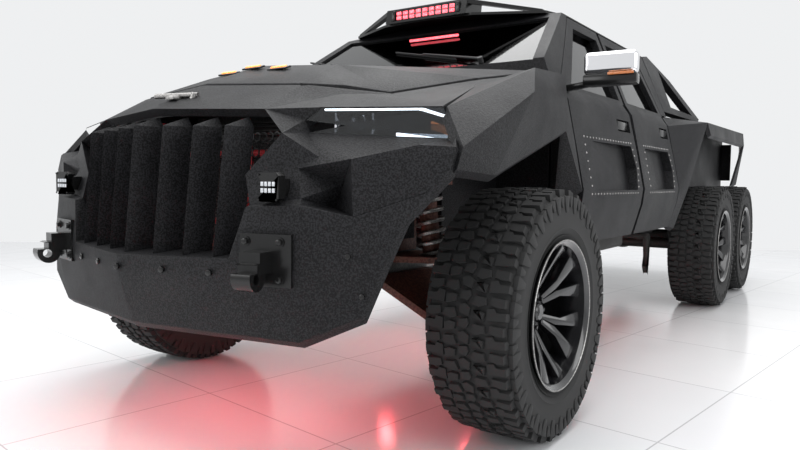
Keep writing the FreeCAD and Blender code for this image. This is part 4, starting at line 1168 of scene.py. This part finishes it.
@dataclass
class Wheels:
    """Six mud tyres on deep black forked-spoke wheels; all but the front left are copies."""

    pitches: int = 32
    spokes: int = 6
    lug_height: float = 0.015
    spoke_depth: float = 0.040

    def crown(self, width: float) -> float:
        """Height of the tread's top plane so that a lug this wide stays inside the tyre."""
        return math.sqrt(TYRE_RADIUS**2 - (width / 2) ** 2) - 0.0005

    def lug(self, work: Workpiece, corners: list[tuple[float, float]], top: float, root: float) -> None:
        """Adds one tread lug at the top of the tyre, narrower at its top.

        Args:
            work: the tyre being built.
            corners: (across, along) points of its top, across measured outboard.
            top: height of its top above the axle.
            root: height of its root.
        """
        across = sum(x for x, _ in corners) / len(corners)
        along = sum(y for _, y in corners) / len(corners)
        work.outline([AXLE + Vector((x, y - along, root)) for x, y in corners])
        bpy.ops.transform.resize(value=(1.08, 1.08, 1), center_override=AXLE + Vector((across, 0, root)))
        bpy.ops.mesh.extrude_region_move(TRANSFORM_OT_translate={"value": (0, 0, top - root)})
        bpy.ops.transform.resize(value=(1 / 1.08, 1 / 1.08, 1),
                                 center_override=AXLE + Vector((across, 0, top)))
        bpy.ops.mesh.select_linked()
        bpy.ops.transform.rotate(value=along / TYRE_RADIUS, orient_axis="X", center_override=AXLE)

    def tread(self, work: Workpiece) -> None:
        """Adds one pitch of the tread and repeats it round the tyre.

        Args:
            work: the tyre being built.
        """
        step = FULL_TURN * TYRE_RADIUS / self.pitches
        root = TYRE_RADIUS - self.lug_height - 0.008
        top = self.crown(step * 0.6)
        edge = TYRE_HALF - 0.014
        bands = [
            ([(0.086, 0.000), (edge - 0.004, 0.004), (edge - 0.004, 0.030), (0.120, 0.030), (0.112, 0.044),
              (0.086, 0.040)], -0.014),
            ([(0.096, 0.056), (0.124, 0.048), (edge - 0.012, 0.048), (edge - 0.012, 0.078), (0.100, 0.082)],
             -0.014),
            ([(0.036, 0.006), (0.074, -0.004), (0.078, 0.026), (0.058, 0.034), (0.034, 0.030)], 0),
            ([(0.028, 0.052), (0.050, 0.044), (0.084, 0.054), (0.078, 0.078), (0.040, 0.082)], 0),
            ([(-0.018, 0.018), (0.018, 0.008), (0.022, 0.038), (0.0, 0.052), (-0.022, 0.044)], 0),
            ([(-0.022, 0.068), (0.010, 0.062), (0.020, 0.080), (0.014, 0.098), (-0.018, 0.094)], 0),
        ]
        mirrored = [([(-x, step / 2 + y) for x, y in reversed(points)], drop) for points, drop in bands[:4]]
        mesh = bmesh.from_edit_mesh(work.piece.data)
        first = {v.index for v in mesh.verts}
        for points, drop in bands + mirrored:
            self.lug(work, [(x, y - step / 2) for x, y in points], top + drop * 0.4, root + drop)
        mesh = bmesh.from_edit_mesh(work.piece.data)
        mesh.verts.ensure_lookup_table()
        for vertex in mesh.verts:
            vertex.select_set(vertex.index not in first)
        mesh.select_flush(True)
        work.copies_around(self.pitches, AXLE)

    def side_lugs(self, work: Workpiece) -> None:
        """Adds the blocks that climb from the sidewalls to the shoulders.

        Args:
            work: the tyre being built.
        """
        for side in (1, -1):
            out = side * (TYRE_HALF - 0.001)
            inward = -side * 0.020
            for shift, low, high, width in ((0.0, 0.405, 0.470, 0.026), (0.042, 0.425, 0.466, 0.018)):
                corners = [AXLE + Vector((out, shift - width, high)),
                           AXLE + Vector((out, shift + width, high)),
                           AXLE + Vector((out, shift + width * 0.6, low)),
                           AXLE + Vector((out, shift - width * 0.2, low))]
                work.slab(corners, Vector((inward, 0, 0)), 0.002)
                work.copies_around(self.pitches, AXLE)

    def tyre(self) -> bpy.types.Object:
        """Carcass, rim flange, raised rings, side lugs and tread.

        Returns:
            The front left tyre.
        """
        half, radius = TYRE_HALF, TYRE_RADIUS
        side = [(0.283, 0.148), (0.300, 0.150), (0.306, half - 0.022), (0.318, half - 0.010),
                (0.330, half - 0.013),
                (0.345, half - 0.006), (0.352, half - 0.009), (0.395, half - 0.004), (0.440, half - 0.008),
                (0.470, half - 0.022), (radius - 0.021, half - 0.040), (radius - 0.015, half - 0.085),
                (radius - 0.013, 0.03)]
        profile = side + [(r, -x) for r, x in reversed(side)]
        work = Workpiece("tyre_front_left_tread")
        work.lathe(profile, AXLE, 1, 96)
        self.tread(work)
        self.side_lugs(work)
        return work.done()

    def spoke(self, work: Workpiece) -> None:
        """Adds one forked spoke and repeats it round the hub.

        Args:
            work: the wheel being built.
        """
        for lean in (1, -1):
            face = [(0.000, 0.070), (lean * 0.022, 0.078), (lean * 0.042, 0.165), (lean * 0.108, 0.250),
                    (lean * 0.048, 0.270), (lean * 0.004, 0.150)]
            flat = [AXLE + Vector((0.052 + (z - 0.075) * 0.46, y, z)) for y, z in face]
            work.slab(flat if lean > 0 else list(reversed(flat)), Vector((-self.spoke_depth, 0, 0)), 0.0035)
            work.copies_around(self.spokes, AXLE)

    def rim(self) -> bpy.types.Object:
        """Barrel, stepped lips, hub with lug nuts, and the forked spokes.

        Returns:
            The front left rim.
        """
        lip = TYRE_HALF - 0.003
        outer = [(0.281, -0.150), (0.298, -0.152), (0.298, -0.160), (0.266, -0.160), (0.262, 0.090),
                 (0.268, 0.118),
                 (0.274, lip - 0.016), (0.286, lip - 0.004), (0.296, lip), (0.299, lip - 0.004),
                 (0.298, 0.166),
                 (0.280, 0.160)]
        work = Workpiece("rim_front_left_spoked")
        work.lathe(outer, AXLE, 1, 72)
        work.lathe([(0.001, 0.072), (0.030, 0.074), (0.036, 0.068), (0.040, 0.050), (0.086, 0.046),
                    (0.092, 0.038),
                    (0.092, -0.018), (0.001, -0.018)], AXLE, 1, 48)
        self.spoke(work)
        spot = AXLE + Vector((0.046, 0, 0.064))
        work.rod(spot, spot + Vector((0.018, 0, 0)), 0.0105, 6, 0.009, 0.001)
        work.copies_around(8, AXLE)
        return work.done()

    def lip_ring(self) -> bpy.types.Object:
        """Bright machined edge round the front lip.

        Returns:
            The front left wheel's edge.
        """
        lip = TYRE_HALF - 0.003
        work = Workpiece("rim_front_left_edge")
        work.lathe([(0.2935, lip - 0.001), (0.2965, lip + 0.0015), (0.2995, lip - 0.001),
                    (0.2965, lip - 0.004)],
                   AXLE, 1, 72)
        return work.done()

    def copy_to(self, master: bpy.types.Object, node: str, name: str) -> bpy.types.Object:
        """Copies a finished front left piece to another wheel.

        Args:
            master: the front left piece.
            node: the CAD node whose middle it goes to.
            name: the copy's name.

        Returns:
            The copy, with its own mesh.
        """
        low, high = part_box(node)
        middle = (low + high) / 2
        pick(master)
        bpy.ops.object.duplicate()
        piece = bpy.context.object
        piece.name = piece.data.name = name
        piece.parent = None
        bpy.ops.object.mode_set(mode="EDIT")
        bpy.ops.mesh.select_all(action="SELECT")
        if middle.x < 0:
            bpy.ops.transform.resize(value=(-1, 1, 1), center_override=AXLE)
            bpy.ops.mesh.normals_make_consistent(inside=False)
        turn = 0.35 * (len(name) % 5)
        bpy.ops.transform.rotate(value=turn, orient_axis="X", center_override=AXLE)
        bpy.ops.transform.translate(value=middle - AXLE)
        bpy.ops.object.mode_set(mode="OBJECT")
        return piece

    def build(self) -> None:
        """Builds the master wheel and its five copies."""
        masters = ((self.tyre(), RUBBER, "tyre", "tread"), (self.rim(), WHEEL, "rim", "spoked"),
                   (self.lip_ring(), STEEL, "", "edge"))
        for place in ("front", "middle", "rear"):
            for side in ("left", "right"):
                spot = f"{place}_{side}"
                for master, finish, node, suffix in masters:
                    if spot == "front_left":
                        piece = master
                    else:
                        piece = self.copy_to(master, f"tyre_{spot}", f"{node or 'rim'}_{spot}_{suffix}")
                    dress(piece, finish, f"wheel_{spot}", *([f"{node}_{spot}"] if node else []))


# --- Cabin, glass and trim ----------------------------------------------------------------------------


@dataclass
class Glazing:
    """Tinted windows, which keep their CAD shape, and the wipers."""

    def wipers(self) -> bpy.types.Object:
        """Two wiper arms with blades lying on the windscreen.

        Returns:
            Both wipers as one piece.
        """
        work = Workpiece("windscreen_wipers")
        for pivot, tip in ((-0.18, -0.62), (0.50, 0.06)):
            points = []
            for x, y in ((pivot, 0.60), (tip, 0.74)):
                points.append(surface("cab_glass", at(x, y, 2.4), Vector((0, 0, -1))))
            (start, n0), (end, n1) = points
            work.rod(start + n0 * 0.022, end + n1 * 0.016, 0.007, 8, 0.004)
            work.rod(start - n0 * 0.004, start + n0 * 0.030, 0.014, 12)
            side = (end - start).normalized()
            work.slab([end - side * 0.28 + n1 * 0.002, end + side * 0.26 + n1 * 0.002,
                       end + side * 0.26 + n1 * 0.012, end - side * 0.28 + n1 * 0.012],
                       n1.cross(side) * 0.006)
        return work.done()

    def build(self) -> None:
        """Finishes the glass and adds the wipers."""
        for node in ("cab_glass", "front_glass_left", "front_glass_right", "rear_glass_left",
                     "rear_glass_right"):
            pane = frame["nodes"][node]
            pane.data.materials.clear()
            pane.data.materials.append(TINT.material())
        dress(self.wipers(), PLASTIC, "chassis")


@dataclass
class Cabin:
    """Seats and dashboard as they show through the glass."""

    def seats(self) -> None:
        """Rounds the seats and lays sewn channels on them."""
        piece = node_copy("seats", "seats_upholstered")
        soften(piece, 0.035, 4)
        dress(piece, LEATHER, "chassis", "seats")
        work = Workpiece("seat_channels")
        for x in (-0.52, -0.415, -0.31, 0.31, 0.415, 0.52):
            for y, z in ((1.20, 1.22), (1.45, 1.30)):
                place = surface("seats", at(x, y, z), Vector((0, 0, -1)))[0]
                work.rod(place + Vector((0, -0.10, 0.002)), place + Vector((0, 0.10, 0.002)), 0.004, 8)
        dress(work.done(), LEATHER, "chassis")

    def dashboard(self) -> None:
        """Rounds the dashboard, and adds the screen and vents."""
        piece = node_copy("dashboard", "dashboard_moulded")
        soften(piece, 0.012, 3)
        dress(piece, PLASTIC, "chassis", "dashboard")
        work = Workpiece("dashboard_screen")
        rear = surface("dashboard", at(0, 1.4, 1.36), Vector((0, -1, 0)))[0]
        work.block(rear + Vector((-0.13, -0.004, -0.075)), rear + Vector((0.13, 0.010, 0.065)), 0.005)
        for x in (-0.60, -0.25, 0.20, 0.62):
            spot = surface("dashboard", at(x, 1.4, 1.37), Vector((0, -1, 0)))[0]
            work.block(spot + Vector((-0.05, -0.004, -0.028)), spot + Vector((0.05, 0.006, 0.028)), 0.004)
        dress(work.done(), GLOSS, "chassis")

    def build(self) -> None:
        """Builds the cabin."""
        self.seats()
        self.dashboard()


@dataclass
class BodyTrim:
    """Fuel flap, flank bolts and the bed's inner panels."""

    def fuel_flap(self) -> bpy.types.Object:
        """Round flap with a ring on the left bed side.

        Returns:
            The flap.
        """
        place, normal = surface("bed_sides", at(1.5, 2.90, 1.25), Vector((-1, 0, 0)))
        work = Workpiece("fuel_flap")
        work.hoop(place, normal, 0.078, 0.004)
        work.rod(place - normal * 0.004, place + normal * 0.004, 0.070, 40, round_off=0.002)
        return work.done()

    def bed_liner(self) -> bpy.types.Object:
        """Inner panels that close the bed sides above the rear wheels.

        Returns:
            Both sides' panels as one piece.
        """
        work = Workpiece("bed_side_liners")
        low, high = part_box("tail_lamps")
        work.block(Vector((high.x - 0.16, at(0, 4.1, 0).y, low.z - 0.06)),
                   Vector((high.x - 0.148, low.y - 0.002, 1.44)),
                   0.003)
        work.block(Vector((high.x - 0.16, low.y - 0.016, low.z - 0.06)),
                   Vector((high.x + 0.01, low.y - 0.004, 1.44)),
                   0.003)
        work.both_sides()
        return work.done()

    def flank_bolts(self) -> bpy.types.Object:
        """Hexagon bolts on the flanks of the front armour.

        Returns:
            The bolts as one piece.
        """
        work = Workpiece("flank_bolts")
        for sign in (1, -1):
            for node, y, z in (("front_bumper", -0.90, 0.785), ("front_bumper", -0.88, 0.66)):
                place, normal = surface(node, at(sign * 1.5, y, z), Vector((-sign, 0, 0)))
                work.rod(place - normal * 0.002, place + normal * 0.007, 0.010, 6, round_off=0.001)
        return work.done()

    def build(self) -> None:
        """Fits the trim."""
        dress(self.fuel_flap(), ARMOUR, "chassis")
        dress(self.flank_bolts(), GLOSS, "chassis")
        dress(self.bed_liner(), ARMOUR, "chassis")


# --- Running gear -------------------------------------------------------------------------------------


@dataclass
class RunningGear:
    """Coil springs, floor lamps and the brackets that hang in front of the middle wheels."""

    coils: float = 7.0
    wire: float = 0.009

    def coil(self, sign: int) -> bpy.types.Object:
        """Coil spring round one front strut.

        Args:
            sign: 1 on the left, -1 on the right.

        Returns:
            The spring.
        """
        base = at(0.606, 0.0, 0.66)
        top = at(0.566, 0.0, 0.975)
        name = "left" if sign > 0 else "right"
        work = Workpiece(f"coil_spring_{name}")
        ring = [Vector((0.058 + self.wire * math.cos(math.radians(45 * k)), 0,
                        self.wire * math.sin(math.radians(45 * k)))) for k in range(8)]
        work.outline(ring, filled=False)
        piece = work.done()
        apply_modifier(piece, "SCREW", steps=20, render_steps=20, iterations=int(self.coils),
                       screw_offset=(top - base).length / self.coils, use_merge_vertices=True)
        bpy.ops.object.mode_set(mode="EDIT")
        bpy.ops.mesh.select_all(action="SELECT")
        bpy.ops.mesh.normals_make_consistent(inside=False)
        bpy.ops.object.mode_set(mode="OBJECT")
        piece.rotation_euler = (top - base).to_track_quat("Z", "Y").to_euler()
        piece.location = base
        bpy.ops.object.transform_apply(location=True, rotation=True, scale=True)
        if sign < 0:
            bpy.ops.object.mode_set(mode="EDIT")
            bpy.ops.mesh.select_all(action="SELECT")
            bpy.ops.transform.resize(value=(-1, 1, 1), center_override=(0, 0, 0))
            bpy.ops.mesh.normals_make_consistent(inside=False)
            bpy.ops.object.mode_set(mode="OBJECT")
        bpy.ops.object.shade_smooth()
        return piece

    def floor_lamps(self) -> bpy.types.Object:
        """Small red lamps under the body that light the ground.

        Returns:
            The lamps as one piece.
        """
        work = Workpiece("floor_lamps")
        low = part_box("frame_rails")[0]
        for y in (-0.80, -0.35, 0.9, 2.2):
            for x in (-0.29, 0.29):
                spot = at(x, y, low.z + 0.012)
                work.block(spot + Vector((-0.03, -0.02, -0.012)), spot + Vector((0.03, 0.02, 0.006)), 0.004)
        return work.done()

    def tongues(self) -> bpy.types.Object:
        """Flat tongue brackets in front of the middle wheels.

        Returns:
            Both brackets as one piece.
        """
        work = Workpiece("tongue_brackets")
        corners = [at(0.69, 3.02, 0.60), at(0.69, 3.12, 0.60), at(0.69, 3.10, 0.36), at(0.69, 3.07, 0.30),
                   at(0.69, 3.03, 0.36)]
        work.slab(corners, Vector((0.035, 0, 0)), 0.004)
        work.block(at(0.40, 3.03, 0.58), at(0.72, 3.11, 0.62), 0.006)
        work.both_sides()
        return work.done()

    def build(self) -> None:
        """Builds the details."""
        for sign in (1, -1):
            dress(self.coil(sign), STEEL, "chassis")
        dress(self.floor_lamps(), UNDER_GLOW, "chassis")
        dress(self.tongues(), CHASSIS, "chassis")


@dataclass
class Rear:
    """Tail lamps, tailgate handle and the ribs of the bed floor."""

    ribs: int = 11

    def build(self) -> None:
        """Builds the rear details."""
        lens = node_copy("tail_lamps", "tail_lamp_lenses")
        soften(lens, 0.006, 3)
        dress(lens, RED_LENS, "chassis", "tail_lamps")
        low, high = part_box("tail_lamps")
        strip = Workpiece("tail_lamp_strips")
        for z in (low.z + 0.03, (low.z + high.z) / 2, high.z - 0.05):
            strip.block(Vector((high.x - 0.095, high.y - 0.002, z)),
                        Vector((high.x - 0.015, high.y + 0.003, z + 0.02)),
                        0.002)
        strip.both_sides()
        dress(strip.done(), RED_GLOW, "chassis")

        _, gate_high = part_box("tailgate")
        handle = Workpiece("tailgate_handle")
        spot = surface("tailgate", Vector((0, gate_high.y + 0.3, gate_high.z - 0.045)), Vector((0, -1, 0)))[0]
        handle.block(spot + Vector((-0.10, -0.004, -0.022)), spot + Vector((0.10, 0.008, 0.022)), 0.004)
        handle.block(spot + Vector((-0.075, 0.006, -0.010)), spot + Vector((0.075, 0.014, 0.014)), 0.004)
        dress(handle.done(), GLOSS, "tailgate")

        floor_low, floor_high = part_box("bed_box")
        ribs = Workpiece("bed_floor_ribs")
        top = surface("bed_box", at(0, 4.0, 1.4), Vector((0, 0, -1)))[0].z
        for k in range(self.ribs):
            x = -0.68 + 1.36 * k / (self.ribs - 1)
            ribs.block(Vector((x - 0.022, floor_low.y + 0.06, top - 0.001)),
                       Vector((x + 0.022, floor_high.y - 0.10, top + 0.007)), 0.003)
        dress(ribs.done(), ARMOUR, "chassis")


# --- Studio -------------------------------------------------------------------------------------------


@dataclass
class Studio:
    """White tiled floor, pale surroundings, soft lamps and the camera."""

    eye: tuple = (2.190, -4.7955, 1.027)
    yaw: float = 34.688
    pitch: float = -3.758
    roll: float = 0.626
    lens: float = 30.71
    wall: float = 10.6

    def camera(self) -> None:
        """Places the camera."""
        yaw, pitch, roll = (math.radians(v) for v in (self.yaw, self.pitch, self.roll))
        look = Vector((-math.sin(yaw) * math.cos(pitch), math.cos(yaw) * math.cos(pitch), math.sin(pitch)))
        right = Vector((math.cos(yaw), math.sin(yaw), 0))
        up = right.cross(look)
        across = right * math.cos(roll) + up * math.sin(roll)
        upward = up * math.cos(roll) - right * math.sin(roll)
        data = bpy.data.cameras.new("view")
        data.lens = self.lens
        data.sensor_width = 36
        camera = bpy.data.objects.new("view", data)
        turn = Matrix((across, upward, -look)).transposed().to_4x4()
        camera.matrix_world = Matrix.Translation(Vector(self.eye)) @ turn
        bpy.context.scene.collection.objects.link(camera)
        bpy.context.scene.camera = camera

    def floor_material(self) -> bpy.types.Material:
        """Polished white tiles with fine grey joints.

        Returns:
            The material.
        """
        sheet = NodeSheet("white_tiles")
        turned = sheet.add("ShaderNodeMapping", Vector=sheet.place, Rotation=(0, 0, math.radians(8)))
        tiles = sheet.add("ShaderNodeTexBrick", Vector=turned.outputs[0], Scale=1.0, Mortar_Size=0.0035,
                          Color1=(0.88, 0.88, 0.88, 1), Color2=(0.85, 0.85, 0.86, 1),
                          Mortar=(0.55, 0.55, 0.56, 1))
        tiles.offset = 0
        tiles.inputs["Brick Width"].default_value = 0.9
        tiles.inputs["Row Height"].default_value = 0.9
        sheet.link(tiles.outputs["Color"], "Base Color")
        sheet.link(sheet.spread(sheet.noise(1.5), 0.10, 0.22), "Roughness")
        return sheet.material

    def room(self) -> None:
        """Lays the floor, which ends where the room's wall would stand."""
        yaw = math.radians(self.yaw)
        ahead = Vector((-math.sin(yaw), math.cos(yaw), 0))
        aside = Vector((math.cos(yaw), math.sin(yaw), 0))
        below = Vector((self.eye[0], self.eye[1], CAD_LOW.z))
        work = Workpiece("studio_floor")
        work.outline([below + ahead * self.wall + aside * 30, below + ahead * self.wall - aside * 30,
                      below - ahead * 20 - aside * 30, below - ahead * 20 + aside * 30])
        floor = work.done()
        floor.data.materials.append(self.floor_material())

    def world(self) -> None:
        """Plain pale surroundings that the camera sees as white."""
        world = bpy.data.worlds.new("pale_room")
        bpy.context.scene.world = world
        world.use_nodes = True
        tree = world.node_tree
        ground = tree.nodes["Background"]
        ground.inputs["Color"].default_value = (0.80, 0.82, 0.85, 1)
        ground.inputs["Strength"].default_value = 0.75
        seen = tree.nodes.new("ShaderNodeBackground")
        seen.inputs["Color"].default_value = (0.86, 0.87, 0.88, 1)
        seen.inputs["Strength"].default_value = 1.0
        path = tree.nodes.new("ShaderNodeLightPath")
        either = tree.nodes.new("ShaderNodeMath")
        either.operation = "MAXIMUM"
        mix = tree.nodes.new("ShaderNodeMixShader")
        tree.links.new(path.outputs["Is Camera Ray"], either.inputs[0])
        tree.links.new(path.outputs["Is Glossy Ray"], either.inputs[1])
        tree.links.new(either.outputs[0], mix.inputs[0])
        tree.links.new(ground.outputs[0], mix.inputs[1])
        tree.links.new(seen.outputs[0], mix.inputs[2])
        tree.links.new(mix.outputs[0], tree.nodes["World Output"].inputs["Surface"])

    def lamp(self, name: str, place: tuple, target: tuple, size: tuple, power: float) -> None:
        """Adds one soft rectangular lamp.

        Args:
            name: its name.
            place: where it hangs.
            target: the point it faces.
            size: its two sides in metres.
            power: watts.
        """
        data = bpy.data.lights.new(name, "AREA")
        data.shape = "RECTANGLE"
        data.size, data.size_y = size
        data.energy = power
        lamp = bpy.data.objects.new(name, data)
        lamp.location = place
        lamp.rotation_euler = (Vector(target) - Vector(place)).to_track_quat("-Z", "Y").to_euler()
        bpy.context.scene.collection.objects.link(lamp)

    def build(self) -> None:
        """Sets the stage."""
        self.room()
        self.world()
        self.lamp("ceiling", (0.0, -1.0, 6.0), (0, -0.6, 0), (7.0, 9.0), 570)
        self.lamp("front_wall", (-3.5, -8.0, 3.2), (0, -2.4, 0.9), (5.0, 2.5), 120)
        self.lamp("right_wall", (7.0, -1.0, 3.0), (0.8, 0.0, 1.0), (7.0, 2.5), 140)
        self.camera()
        bpy.context.scene.view_settings.view_transform = "Standard"


BODY_NODES = ("cab_shell", "front_door_left", "front_door_right", "rear_door_left", "rear_door_right", "hood",
              "fenders", "nose_armour", "front_bumper", "grille_slats", "bed_sides", "bed_box", "sail_panels",
              "tailgate", "rear_bumper")
CHASSIS_NODES = ("frame_rails", "rear_axles", "leaf_springs", "engine_block", "drive_shafts", "exhaust",
                 "fuel_tank")


def main() -> None:
    logging.basicConfig(level=logging.INFO, format="%(message)s")
    CarriedOver(0.004, ARMOUR, BODY_NODES).build()
    CarriedOver(0.004, GLOSS, ("roof_visor",)).build()
    CarriedOver(0.003, CHASSIS, CHASSIS_NODES).build()
    CarriedOver(0.003, PRIMER, ("front_suspension",)).build()
    CarriedOver(0.002, STEEL, ("knuckle_left", "knuckle_right")).build()
    for assembly in (DoorTrim(), Grille(), HeadLamps(), PodLamps(), LightBar(), HoodLamps(), Mirrors(),
                     TowHooks(),
                     Wheels(), Glazing(), Cabin(), BodyTrim(), RunningGear(), Rear(), Studio()):
        assembly.build()


if __name__ == "__main__":
    main()
